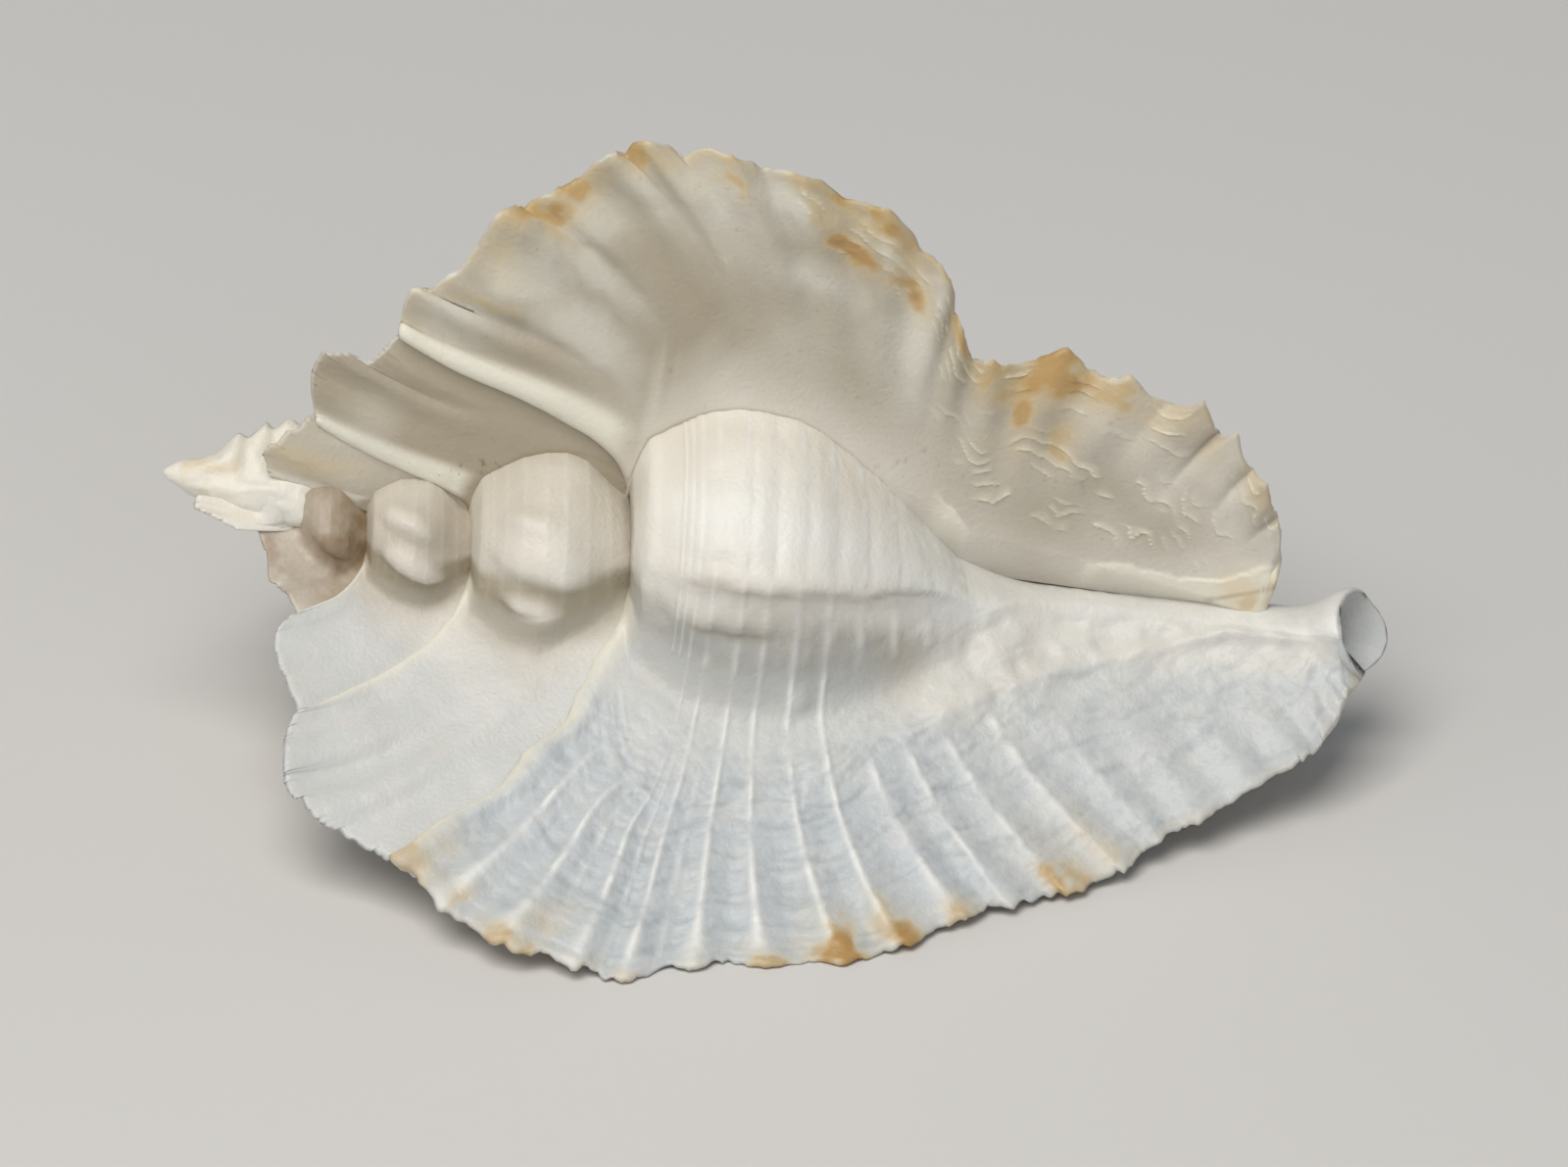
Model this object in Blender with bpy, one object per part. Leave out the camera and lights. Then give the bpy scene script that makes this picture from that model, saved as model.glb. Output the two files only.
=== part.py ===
"""A three-winged murex shell, grown as one piece.

The shell is laid out along its coiling axis: a is the distance from the apex towards the end
of the siphonal canal, and every wing stands in a half plane through that axis. One chunk is a
third of a whorl: it starts at the wing before it, runs round the body and turns out into its
own wing. Chunks are numbered backwards from the lip, 0 being the last one grown.
"""

import math

import bmesh
import bpy
import numpy as np
from mathutils import Matrix

MM = 0.001

# One row for each spiral cord of the last whorl, from the suture to the end of the canal:
# where it lies along the body, the girth of the whorl there, and how far the bore of the
# canal stands off the coiling axis. Rows after the twelfth count along the canal instead.
CORD_ALONG = (0.0, 0.7, 1.6, 2.7, 4.2, 6.2, 8.0, 10.0, 12.0, 14.1, 16.2, 18.3, 21.0)
CANAL_SHARE = (0.13, 0.28, 0.45, 0.61, 0.78, 0.90, 1.0)
CORD_GIRTH = (4.6, 7.2, 8.0, 8.75, 9.6, 10.05, 10.0, 9.7, 8.9, 7.8, 6.6, 5.3, 3.8,
              2.95, 2.6, 2.45, 2.35, 2.3, 2.4, 2.6)
BORE_OFFSET = (0.0, 0.0, 0.0, 0.0, 0.0, 0.0, 0.0, 0.05, 0.3, 0.6, 1.0, 1.5, 2.2,
               2.4, 2.1, 1.8, 1.4, 0.9, 0.3, -0.2)

# Where each cord ends on the edge of a wing: (distance from the apex, distance from the axis).
LIP_EDGE = ((16.5, 22.9), (19.6, 26.6), (23.3, 29.4), (28.0, 30.8), (31.1, 31.3), (35.4, 29.7),
            (39.5, 29.2), (44.4, 28.5), (47.8, 27.0), (51.4, 24.1), (54.2, 22.5), (57.8, 21.0),
            (60.9, 18.6), (63.4, 16.4), (67.0, 14.5), (70.7, 11.6), (74.1, 9.2), (75.5, 7.1),
            (76.6, 4.6), (77.0, 3.4))
UPPER_EDGE = ((12.6, 13.0), (13.2, 16.4), (15.4, 18.0), (17.7, 22.5), (20.6, 23.4), (23.5, 25.9),
              (25.7, 26.8), (30.6, 26.6), (35.1, 25.8), (40.9, 23.9), (45.2, 20.2), (46.6, 16.9),
              (48.9, 14.8), (53.1, 16.2), (57.3, 15.0), (62.0, 14.0), (64.8, 12.3), (67.6, 9.5),
              (68.8, 6.5), (68.7, 2.4))
BACK_EDGE = ((12.0, 15.5), (13.6, 19.2), (16.4, 22.2), (19.8, 24.1), (23.2, 25.1), (26.6, 25.4),
             (30.0, 25.1), (33.6, 24.6), (37.2, 23.8), (40.6, 22.4), (43.6, 20.6), (46.2, 18.6),
             (48.8, 16.8), (51.4, 15.0), (54.0, 12.8), (56.6, 10.4), (58.6, 8.2), (60.0, 6.2),
             (60.8, 4.4), (61.0, 3.2))
OLDER_EDGES = (
    ((9.9, 13.4), (9.2, 15.4), (9.3, 18.0), (9.8, 19.4), (11.7, 21.0), (14.8, 22.2), (18.2, 24.2)),
    ((7.8, 7.9), (7.9, 10.0), (9.0, 11.1), (11.2, 11.1), (12.4, 12.8), (14.4, 14.8)),
    ((8.2, 9.0), (7.8, 10.9), (8.9, 12.8), (11.2, 14.6), (14.0, 16.4)),
    ((9.2, 7.0), (8.0, 8.6), (8.1, 10.4), (8.9, 12.0), (9.9, 13.9), (11.2, 15.4)),
    ((5.2, 2.5), (5.9, 3.7), (7.7, 4.8), (8.9, 6.0), (10.3, 7.2)),
    ((5.8, 4.6), (5.3, 6.0), (6.4, 7.4), (8.2, 8.8), (9.8, 9.8)),
    ((5.8, 1.8), (6.8, 3.6), (7.2, 5.4), (8.4, 6.1), (9.6, 8.0)),
    ((3.8, 3.5), (5.0, 4.4), (5.9, 4.6), (7.2, 5.7), (8.1, 7.2), (9.6, 8.5)),
    ((3.6, 2.4), (3.5, 3.4), (4.4, 4.4), (5.8, 5.2)),
    ((2.1, 1.2), (2.1, 2.2), (3.4, 2.6), (4.8, 3.0)),
    ((0.9, 1.0), (2.3, 1.8), (3.9, 3.4), (5.1, 4.5)),
    ((2.2, 1.3), (2.2, 2.1), (3.1, 2.8), (4.2, 3.2)),
)

# Each wing's meridian, from the one that faces the front of the shell, and its suture.
WING_ANGLE = (60, -60, -180, -300, -420, -540, -660, -775, -900, -1020, -1160, -1275,
              -1390, -1530, -1640)
SUTURE = (29.2, 28.1, 23.9)
STRETCH = (1.05, 1.0, 0.86)
GIRTH = (1.07, 1.0, 0.82)
OLD_STRETCH = (0.72, 0.667, 0.573)
OLD_GIRTH = (0.68, 0.62, 0.54)
CANAL_END = (76.8, 68.4, 60.6)
WHORL_RATIO = 1.5
LAST_ROW = 19.0
OLD_LAST_ROW = 9.6

BORE_ANGLE = 45.0
FLARE_TURN = 25.0
FLARE_POWER = 2.4
WING_HALF = 0.62
EDGE_HALF = 0.27
CLASP_HALF = 0.45
WALL = 1.0
SOLID_BORE = 0.6
TOOTH = 0.8
CORD_RELIEF = 0.16
FOLD_RELIEF = 0.3
CANAL_WRAP = -322.0
START_TURN = -150.0
SECOND_TURN = -116.0
APEX_DROP = 2.3
APEX_DROP_AT = 15.0
APEX_DROP_REACH = 10.0
RECURVE_FROM = 62.0
RECURVE_OVER = 14.0
RECURVE_TURN = 26.0
RECURVE_MERIDIAN = 8.0

COLUMELLA = ((4.0, 0.7), (8.0, 1.5), (14.0, 2.2), (22.0, 2.8), (29.0, 3.3), (33.0, 2.3),
             (38.0, 1.6), (44.0, 1.4), (49.0, 1.2))

APEX = ((0.25, 0.28), (0.8, 0.62), (1.5, 0.8), (2.1, 0.95), (3.0, 1.25), (4.2, 1.3), (5.5, 1.3))

PITCH = 8.9
ROLL = 1.85
REST_CUT = 0.35

SHELL_CREAM = (0.78, 0.72, 0.62, 1.0)


def smooth_rows(rows, at):
    """Values between rows, by a cubic through every row (columns are separate quantities)."""
    rows = np.asarray(rows, float)
    if rows.ndim == 1:
        rows = rows[:, None]
    last = len(rows) - 1
    at = np.clip(np.asarray(at, float), 0.0, last)
    low = np.minimum(at.astype(int), last - 1)
    f = (at - low)[:, None]
    before = rows[np.maximum(low - 1, 0)]
    after = rows[np.minimum(low + 2, last)]
    one, two = rows[low], rows[low + 1]
    slope_one = (two - before) / np.where(low > 0, 2.0, 1.0)[:, None]
    slope_two = (after - one) / np.where(low + 2 <= last, 2.0, 1.0)[:, None]
    square, cube = f * f, f * f * f
    return (one * (2 * cube - 3 * square + 1) + slope_one * (cube - 2 * square + f)
            + two * (3 * square - 2 * cube) + slope_two * (cube - square))


def varix(k):
    """(suture, stretch, girth, end of canal) of the lip that made wing k."""
    if k < 3:
        return SUTURE[k], STRETCH[k], GIRTH[k], CANAL_END[k]
    turns = k // 3
    shrink = WHORL_RATIO ** turns
    older = WHORL_RATIO ** (turns - 1)
    suture = SUTURE[k % 3] / shrink
    stretch = OLD_STRETCH[k % 3] / older
    return suture, stretch, OLD_GIRTH[k % 3] / older, suture + 39.0 * stretch


def generating_line(k, rows):
    """(along, girth, bore offset) of wing k's lip at each cord row."""
    suture, stretch, girth, canal_end = varix(k)
    along = [suture + stretch * step for step in CORD_ALONG]
    along += [along[-1] + share * (canal_end - along[-1]) for share in CANAL_SHARE]
    table = np.column_stack([along, np.array(CORD_GIRTH) * girth, np.array(BORE_OFFSET) * girth])
    return smooth_rows(table, rows).T


def edge_line(k, rows):
    """The wing's edge at each cord row, with a tooth at every cord."""
    if k < 3:
        line = smooth_rows((LIP_EDGE, UPPER_EDGE, BACK_EDGE)[k], rows)
        tooth = TOOTH * (0.55 if k == 2 else 1.0)
        out = tooth * (0.5 - np.abs(rows - np.round(rows)) * 2.0)
        fade = np.clip((LAST_ROW - rows) / 2.0, 0.0, 1.0)
        return line[:, 0], line[:, 1] + 0.5 * out * fade
    table = OLDER_EDGES[k - 3]
    share = rows / OLD_LAST_ROW * (len(table) - 1)
    line = smooth_rows(table, share)
    out = 0.12 * varix(k)[2] * np.where(np.arange(len(rows)) % 2, -1.0, 1.0)
    return line[:, 0], line[:, 1] + out


def mid_surface(a, rho):
    """How far a wing leans back from its half plane: it curls away from the aperture."""
    return -0.0016 * rho ** 2 + 0.45 * np.sin(a / 4.3) * (rho / 26.0) ** 2


def swelling(k, row, theta):
    """Growth ridges between the wings, as an addition to the girth."""
    girth = varix(k)[2]
    if k < 3:
        window = np.exp(-(((row - 6.5) / 4.5) ** 4))
        main = 0.75 * np.exp(-(((theta + 49.0) / 6.5) ** 2)) * window
        upper = np.exp(-(((row - 3.4) / 1.1) ** 2))
        return girth * (main + 0.5 * upper * np.exp(-(((theta + 31.0) / 6.0) ** 2)))
    window = np.exp(-(((row - 5.0) / 3.0) ** 2))
    first = 0.95 * np.exp(-(((theta + 62.0) / 12.0) ** 2))
    second = 0.9 * np.exp(-(((theta + 20.0) / 10.0) ** 2))
    return girth * window * (first + second)


def cord_wave(k, rows):
    """1 on the crest of each spiral cord of the last whorl, -1 half way between two cords."""
    if k > 1:
        return np.zeros(len(rows))
    fade = np.clip((13.0 - rows) / 3.0, 0.0, 1.0) * np.clip(rows, 0.0, 1.0)
    return (1.0 - 4.0 * np.abs(rows - np.round(rows))) * fade


def chunk_sheets(k, rows, arc_count, wing_count, inner_arc):
    """Outer and inner sheet of chunk k as (a, rho, tau) grids in its own wing's half plane."""
    rows = np.asarray(rows, float)
    along, girth, offset = generating_line(k, rows)
    before_along, before_girth, before_offset = generating_line(k + 1, rows)
    if k == 0:
        canal = np.clip((rows - 11.0) / 2.4, 0.0, 1.0)
        reach = (rows - 12.0) / 7.0
        before_along = np.where(rows > 12, before_along + np.clip(reach, 0, 1) * 6.6, before_along)
        start = START_TURN + (CANAL_WRAP - START_TURN) * canal * canal * (3 - 2 * canal)
    else:
        start = np.full(len(rows), START_TURN)
    bore = math.radians(BORE_ANGLE) if k == 0 else 0.0
    size = varix(k)[2]
    half = max(0.19, WING_HALF * min(1.0, size)) * np.ones(len(rows))
    edge_half = max(0.16, EDGE_HALF * min(1.0, size))
    clasp = CLASP_HALF * max(0.35, size) * np.exp(-((rows / 0.7) ** 2))
    wave = cord_wave(k, rows)

    def centre(theta):
        w = np.clip(1.0 + theta / 120.0, -1.0, 1.0)
        shift = before_offset[:, None] + (offset - before_offset)[:, None] * w
        return shift * math.cos(bore), shift * math.sin(bore)

    def circle(theta, inner):
        w = np.clip(1.0 + theta / 120.0, -0.5, 1.0)
        a = before_along[:, None] + (along - before_along)[:, None] * w
        r = before_girth[:, None] + (girth - before_girth)[:, None] * w
        cx, cy = centre(theta)
        if not inner:
            r = r + swelling(k, rows[:, None], theta) + CORD_RELIEF * wave[:, None]
        elif k == 0:
            r = r - np.minimum(WALL, 0.42 * r)
        else:
            r, cx, cy = SOLID_BORE * min(1.0, size), 0.0, 0.0
        turn = np.radians(theta)
        return np.stack([a, cx + r * np.cos(turn), cy + r * np.sin(turn)], axis=-1)

    cy_end = offset * math.sin(bore)
    meets = np.degrees(np.arcsin(np.clip((-half - cy_end) / girth, -0.97, 0.3)))
    leave = meets - FLARE_TURN
    share = np.linspace(0.0, 1.0, arc_count - 1)[None, :]
    second = np.maximum(start, SECOND_TURN) if k else start * 0.93
    theta = second[:, None] + (leave - second)[:, None] * share
    theta = np.concatenate([start[:, None], theta], axis=1)
    arc = circle(theta, False)

    edge_a, edge_rho = edge_line(k, rows)
    foot = arc[:, -1, :]
    x = (np.linspace(0.0, 1.0, wing_count + 1)[1:] ** 0.85)[None, :]
    to_edge = np.maximum(edge_rho - foot[:, 1], 0.4)
    path_a = (foot[:, :1] * (1 - x) ** 2 + 2 * x * (1 - x) * (foot[:, :1] * 0.9 + edge_a[:, None] * 0.1)
              + edge_a[:, None] * x * x)
    bow = 0.55
    path_rho = foot[:, 1][:, None] + to_edge[:, None] * (2 * x * (1 - x) * bow + x * x)
    gap = -(foot[:, 2] + half)
    long = np.minimum(FLARE_POWER * gap / 1.9, 0.8 * to_edge)
    y = np.clip((path_rho - foot[:, 1][:, None]) / long[:, None], 0.0, 1.0)
    thin = half[:, None] + (edge_half - half)[:, None] * np.clip(x * 1.1, 0, 1) + clasp[:, None]
    fade = np.clip(y, 0.0, 1.0)
    back = -thin - gap[:, None] * (1.0 - y) ** FLARE_POWER + mid_surface(path_a, path_rho) * fade
    angle = np.degrees(np.arctan2(back, path_rho))
    puff = swelling(k, rows[:, None], angle) * np.exp(-(((path_rho - girth[:, None]) /
                                                         (0.35 * girth[:, None])) ** 2))
    fold = (CORD_RELIEF + (FOLD_RELIEF - CORD_RELIEF) * x) * wave[:, None]
    back = back - 0.8 * puff - fold
    wing = np.stack([path_a, path_rho, back], axis=-1)
    outer = np.concatenate([arc, wing], axis=1)

    x = (np.linspace(1.0, 0.0, wing_count + 1) ** 0.85)[None, :]
    lip = girth - 0.6 * np.minimum(WALL, 0.42 * girth) if k == 0 else np.minimum(0.35 * girth, 1.6)
    lip = lip + offset * math.cos(bore)
    front_a = along[:, None] * (1 - x) ** 2 + 2 * x * (1 - x) * (
        along[:, None] * 0.9 + edge_a[:, None] * 0.1) + edge_a[:, None] * x * x
    span = np.maximum(edge_rho - lip, 0.5)
    front_rho = edge_rho[:, None] - span[:, None] * (1 - (2 * x * (1 - x) * bow + x * x))
    thin = half[:, None] + (edge_half - half)[:, None] * x + clasp[:, None]
    lean = np.clip((front_rho - girth[:, None]) / (0.5 * girth[:, None]), 0.0, 1.0)
    front = thin + mid_surface(front_a, front_rho) * lean - FOLD_RELIEF * x * wave[:, None] * lean
    face = np.stack([front_a, front_rho, front], axis=-1)
    first = np.degrees(np.arcsin(np.clip(-cy_end / girth, -0.9, 0.3))) - 4.0
    share = np.linspace(0.0, 1.0, inner_arc)[None, :]
    theta = first[:, None] + (start - first)[:, None] * share
    inside = circle(theta, True)
    inner = np.concatenate([face, inside], axis=1)[:, ::-1]
    return outer, inner


def to_shell(k, grid):
    """Half-plane coordinates of wing k to the shell's own: X along the axis, wing 1 up."""
    turn = math.radians(WING_ANGLE[k] + 60.0)
    a, rho, tau = grid[..., 0], grid[..., 1], grid[..., 2]
    y = -rho * math.sin(turn) - tau * math.cos(turn)
    z = rho * math.cos(turn) - tau * math.sin(turn)
    return bend(np.stack([a, y, z], axis=-1))


def bend(points):
    """The early whorls sag a little, and the end of the canal is recurved."""
    a, y, z = points[..., 0], points[..., 1], points[..., 2]
    sag = APEX_DROP * np.exp(-(((a - APEX_DROP_AT) / APEX_DROP_REACH) ** 2))
    meridian = math.radians(RECURVE_MERIDIAN + 60.0)
    gy, gz = -math.sin(meridian), math.cos(meridian)
    beyond = np.clip((a - RECURVE_FROM) / RECURVE_OVER, 0.0, 1.3)
    turn = math.radians(RECURVE_TURN) * beyond
    full = RECURVE_OVER / math.radians(RECURVE_TURN)
    lift = y * gy + z * gz
    along = np.where(beyond > 0, RECURVE_FROM + full * np.sin(turn) - lift * np.sin(turn), a)
    rise = full * (1 - np.cos(turn)) + lift * (np.cos(turn) - 1)
    return np.stack([along, y + gy * rise, z + gz * rise - sag], axis=-1)


def zipper(one, two):
    """Triangles between two vertex rows of different lengths."""
    faces, i, j = [], 0, 0
    m, n = len(one) - 1, len(two) - 1
    while i < m or j < n:
        if j == n or (i < m and (i + 1) / m <= (j + 1) / n):
            faces.append((one[i], one[i + 1], two[j]))
            i += 1
        else:
            faces.append((one[i], two[j + 1], two[j]))
            j += 1
    return faces


def closed_mesh(name, outer, inner, wing_count):
    """A solid between two sheets that share their rows."""
    rows, m, n = len(outer), outer.shape[1], inner.shape[1]
    root, throat = m - wing_count - 1, n - wing_count - 1
    points = np.concatenate([outer.reshape(-1, 3), inner.reshape(-1, 3)])
    top = np.arange(rows * m).reshape(rows, m)
    low = rows * m + np.arange(rows * n).reshape(rows, n)
    faces = []
    for sheet, flip in ((top, False), (low, True)):
        for r in range(rows - 1):
            for c in range(sheet.shape[1] - 1):
                quad = [sheet[r, c], sheet[r + 1, c], sheet[r + 1, c + 1], sheet[r, c + 1]]
                faces.append(quad[::-1] if flip else quad)
    for r in range(rows - 1):
        faces.append([top[r, 0], low[r, 0], low[r + 1, 0], top[r + 1, 0]])
        faces.append([top[r, -1], top[r + 1, -1], low[r + 1, -1], low[r, -1]])
    for row, flip in ((0, True), (-1, False)):
        strip = zipper(list(top[row][:root + 1]), list(low[row][:throat + 1]))
        strip += zipper(list(top[row][root:]), list(low[row][throat:]))
        faces += [list(f)[::-1] if flip else list(f) for f in strip]
    return make_object(name, points, faces)


def make_object(name, points, faces):
    mesh = bpy.data.meshes.new(name)
    mesh.from_pydata([tuple(p) for p in points], [], [[int(v) for v in f] for f in faces])
    work = bmesh.new()
    work.from_mesh(mesh)
    bmesh.ops.triangulate(work, faces=work.faces[:])
    bmesh.ops.recalc_face_normals(work, faces=work.faces[:])
    work.to_mesh(mesh)
    work.free()
    result = bpy.data.objects.new(name, mesh)
    bpy.context.scene.collection.objects.link(result)
    return result


def turned_solid(name, stations, sides):
    """A closed solid of revolution about the axis, rounded off by its end points."""
    rings = []
    for a, r in stations:
        turn = np.linspace(0.0, 2 * math.pi, sides, endpoint=False)
        rings.append(np.stack([np.full(sides, a), r * np.cos(turn), r * np.sin(turn)], axis=-1))
    points = bend(np.concatenate(rings))
    first = bend(np.array([[stations[0][0] - 0.4 * stations[0][1], 0.0, 0.0]]))
    last = bend(np.array([[stations[-1][0] + 0.4 * stations[-1][1], 0.0, 0.0]]))
    points = np.concatenate([points, first, last])
    tip, end = len(points) - 2, len(points) - 1
    faces = []
    for s in range(len(stations) - 1):
        for c in range(sides):
            d = (c + 1) % sides
            faces.append([s * sides + c, (s + 1) * sides + c, (s + 1) * sides + d, s * sides + d])
    final = (len(stations) - 1) * sides
    for c in range(sides):
        d = (c + 1) % sides
        faces.append([tip, c, d])
        faces.append([end, final + d, final + c])
    return make_object(name, points, faces)


def boolean(target, other, operation):
    modifier = target.modifiers.new(operation.lower(), "BOOLEAN")
    modifier.operation = operation
    modifier.solver = "EXACT"
    modifier.object = other
    graph = bpy.context.evaluated_depsgraph_get()
    mesh = bpy.data.meshes.new_from_object(target.evaluated_get(graph))
    target.modifiers.clear()
    target.data = mesh
    bpy.data.objects.remove(other, do_unlink=True)


def keep_largest(target):
    """Leaves only the largest connected body, dropping slivers that a join split off."""
    work = bmesh.new()
    work.from_mesh(target.data)
    left, bodies = set(work.verts), []
    while left:
        body, edge = set(), {next(iter(left))}
        while edge:
            body |= edge
            edge = {e.other_vert(v) for v in edge for e in v.link_edges} - body
        bodies.append(body)
        left -= body
    bodies.sort(key=len)
    for body in bodies[:-1]:
        bmesh.ops.delete(work, geom=list(body), context="VERTS")
    work.to_mesh(target.data)
    work.free()


def rows_for(k):
    if k == 2:
        return np.arange(0.0, LAST_ROW + 0.01)
    if k < 2:
        fine = np.arange(0.0, 13.01, 0.5)
        if k == 0:
            fine = np.concatenate([fine[:23], np.arange(11.3, 13.2, 0.3), [13.6]])
        return np.concatenate([fine, np.arange(14.0, LAST_ROW + 0.01)])
    count = (12, 12, 9, 10, 9, 7, 8, 8, 5, 6, 6, 5)[k - 3]
    return np.linspace(0.0, OLD_LAST_ROW, count)


def counts_for(k):
    if k < 3:
        return ((9, 6, 3), (7, 5, 3), (7, 5, 3))[k]
    if k < 5:
        return 9, 4, 3
    return (6, 3, 3) if k < 9 else (5, 3, 3)


def build():
    shell = turned_solid("shell", COLUMELLA, 8)
    boolean(shell, turned_solid("apex", APEX, 8), "UNION")
    for k in reversed(range(len(WING_ANGLE) - 1)):
        counts = counts_for(k)
        outer, inner = chunk_sheets(k, rows_for(k), *counts)
        piece = closed_mesh(f"chunk_{k}", to_shell(k, outer), to_shell(k, inner), counts[1])
        boolean(shell, piece, "UNION")
    return shell


for old in list(bpy.data.objects):
    bpy.data.objects.remove(old, do_unlink=True)

shell = build()
turn = Matrix.Rotation(math.radians(-ROLL), 4, "X") @ Matrix.Rotation(math.radians(PITCH), 4, "Y")
shell.data.transform(turn)
low = min(v.co.z for v in shell.data.vertices)
bpy.ops.mesh.primitive_cube_add(size=1.0)
slab = bpy.context.active_object
slab.data.transform(Matrix.Translation((38.0, 0.0, low + REST_CUT - 5.0))
                    @ Matrix.Diagonal((120.0, 120.0, 10.0, 1.0)))
boolean(shell, slab, "DIFFERENCE")
keep_largest(shell)
corners = np.array([v.co[:] for v in shell.data.vertices])
least, most = corners.min(axis=0), corners.max(axis=0)
middle = (least + most) / 2
shell.data.transform(Matrix.Scale(MM, 4)
                     @ Matrix.Translation((-middle[0], -middle[1], -least[2])))

shell.data.shade_smooth()
shell.data.set_sharp_from_angle(angle=math.radians(38))
cream = bpy.data.materials.new("shell_cream")
cream.use_nodes = True
surface = cream.node_tree.nodes["Principled BSDF"]
surface.inputs["Base Color"].default_value = SHELL_CREAM
surface.inputs["Roughness"].default_value = 0.55
shell.data.materials.clear()
shell.data.materials.append(cream)
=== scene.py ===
"""A three-winged murex shell as fine mesh, on a pale floor in soft studio light.

Lengths are in millimetres until a mesh is made. The shell is laid out along its coiling axis:
a is the distance from the apex towards the end of the siphonal canal, rho the distance from
the axis, and tau the way round it, in the direction of growth. A chunk is a third of a whorl:
it runs round the body from the wing before it and turns out into its own wing. Chunks are
numbered backwards from the lip, 0 being the last one grown. A row is one line along a chunk,
from the body to the wing's edge, and each whole row number is a spiral cord.
"""

import math

import bpy
import numpy as np
from mathutils import Matrix, Vector


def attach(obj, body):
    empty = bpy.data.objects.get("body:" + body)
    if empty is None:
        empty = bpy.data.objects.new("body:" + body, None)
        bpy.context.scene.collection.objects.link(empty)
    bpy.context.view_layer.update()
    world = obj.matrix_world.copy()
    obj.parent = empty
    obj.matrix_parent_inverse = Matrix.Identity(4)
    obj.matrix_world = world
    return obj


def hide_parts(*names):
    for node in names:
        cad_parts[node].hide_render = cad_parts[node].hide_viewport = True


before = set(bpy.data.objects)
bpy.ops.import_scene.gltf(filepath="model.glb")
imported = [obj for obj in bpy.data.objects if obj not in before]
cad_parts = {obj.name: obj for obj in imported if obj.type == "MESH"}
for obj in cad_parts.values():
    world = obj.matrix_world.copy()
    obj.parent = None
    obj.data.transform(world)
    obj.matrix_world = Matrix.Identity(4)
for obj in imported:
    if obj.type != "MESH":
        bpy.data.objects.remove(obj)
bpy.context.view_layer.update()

MM = 0.001

# The body: for each cord its place along the whorl, the girth there and the bore's offset. Past
# the last place the cords share out what is left of the canal.
CORD_ALONG = (0.0, 0.7, 1.6, 2.7, 4.2, 6.2, 8.0, 10.0, 12.0, 14.1, 16.2, 18.3, 21.0)
CANAL_SHARE = (0.13, 0.28, 0.45, 0.61, 0.78, 0.90, 1.0)
CORD_GIRTH = (4.6, 7.2, 8.0, 8.75, 9.6, 10.05, 10.0, 9.7, 8.9, 7.8, 6.6, 5.3, 3.8,
              2.95, 2.6, 2.45, 2.35, 2.3, 2.4, 2.6)
BORE_OFFSET = (0.0, 0.0, 0.0, 0.0, 0.0, 0.0, 0.0, 0.05, 0.3, 0.6, 1.0, 1.5, 2.2,
               2.4, 2.1, 1.8, 1.4, 0.9, 0.3, -0.2)

# The wings: where each cord ends on the edge, as (distance from the apex, from the axis).
LIP_EDGE = (
    (16.5, 22.9), (19.6, 26.6), (23.3, 29.4), (28.0, 30.8), (31.1, 31.3), (35.4, 29.7),
    (39.5, 29.2), (44.4, 28.5), (47.8, 27.0), (51.4, 24.1), (54.2, 22.5), (57.8, 21.0),
    (60.9, 18.6), (63.4, 16.4), (67.0, 14.5), (70.7, 11.6), (73.6, 9.2), (74.6, 7.1), (75.0, 4.9),
    (75.0, 3.7),
)
UPPER_EDGE = (
    (12.6, 13.0), (13.2, 16.4), (15.4, 18.0), (17.7, 22.5), (20.6, 23.4), (23.5, 25.9),
    (25.7, 26.8), (30.6, 26.6), (35.1, 25.8), (40.9, 23.9), (45.2, 20.2), (46.6, 16.9),
    (48.9, 14.8), (53.1, 16.2), (57.3, 15.0), (62.0, 14.0), (64.8, 12.3), (67.6, 9.5), (68.8, 6.5),
    (68.7, 2.4),
)
BACK_EDGE = (
    (12.0, 15.5), (13.6, 19.2), (16.4, 22.2), (19.8, 24.1), (23.2, 25.1), (26.6, 25.4),
    (30.0, 25.1), (33.6, 24.6), (37.2, 23.8), (40.6, 22.4), (43.6, 20.6), (46.2, 18.6),
    (48.8, 16.8), (51.4, 15.0), (54.0, 12.8), (56.6, 10.4), (58.6, 8.2), (60.0, 6.2), (60.8, 4.4),
    (61.0, 3.2),
)
# The older chunks' edges, through places that are evenly spread along them.
OLDER_EDGES = {
    3: ((9.9, 13.4), (9.2, 15.4), (9.3, 18.0), (9.8, 19.4), (11.7, 21.0), (14.8, 22.2),
        (18.2, 24.2)),
    4: ((8.8, 5.7), (7.9, 9.0), (8.7, 11.0), (11.2, 11.1), (12.4, 12.8), (14.4, 14.8)),
    5: ((8.2, 9.0), (7.8, 10.9), (8.9, 12.8), (11.2, 14.6), (14.0, 16.4)),
    6: ((9.2, 7.0), (8.0, 8.6), (8.1, 10.4), (8.9, 12.0), (9.9, 13.9), (11.2, 15.4)),
    7: ((6.3, 1.6), (5.7, 3.6), (7.0, 5.3), (8.9, 6.8), (10.3, 8.0)),
    8: ((5.8, 4.6), (5.3, 6.0), (6.4, 7.4), (8.2, 8.8), (9.8, 9.8)),
    9: ((5.8, 1.8), (6.8, 3.6), (7.2, 5.4), (8.4, 6.1), (9.6, 8.0)),
    11: ((3.6, 2.4), (3.5, 3.4), (4.4, 4.4), (5.8, 5.2)),
    12: ((2.1, 1.2), (2.1, 2.2), (3.4, 2.6), (4.8, 3.0)),
}

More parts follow.
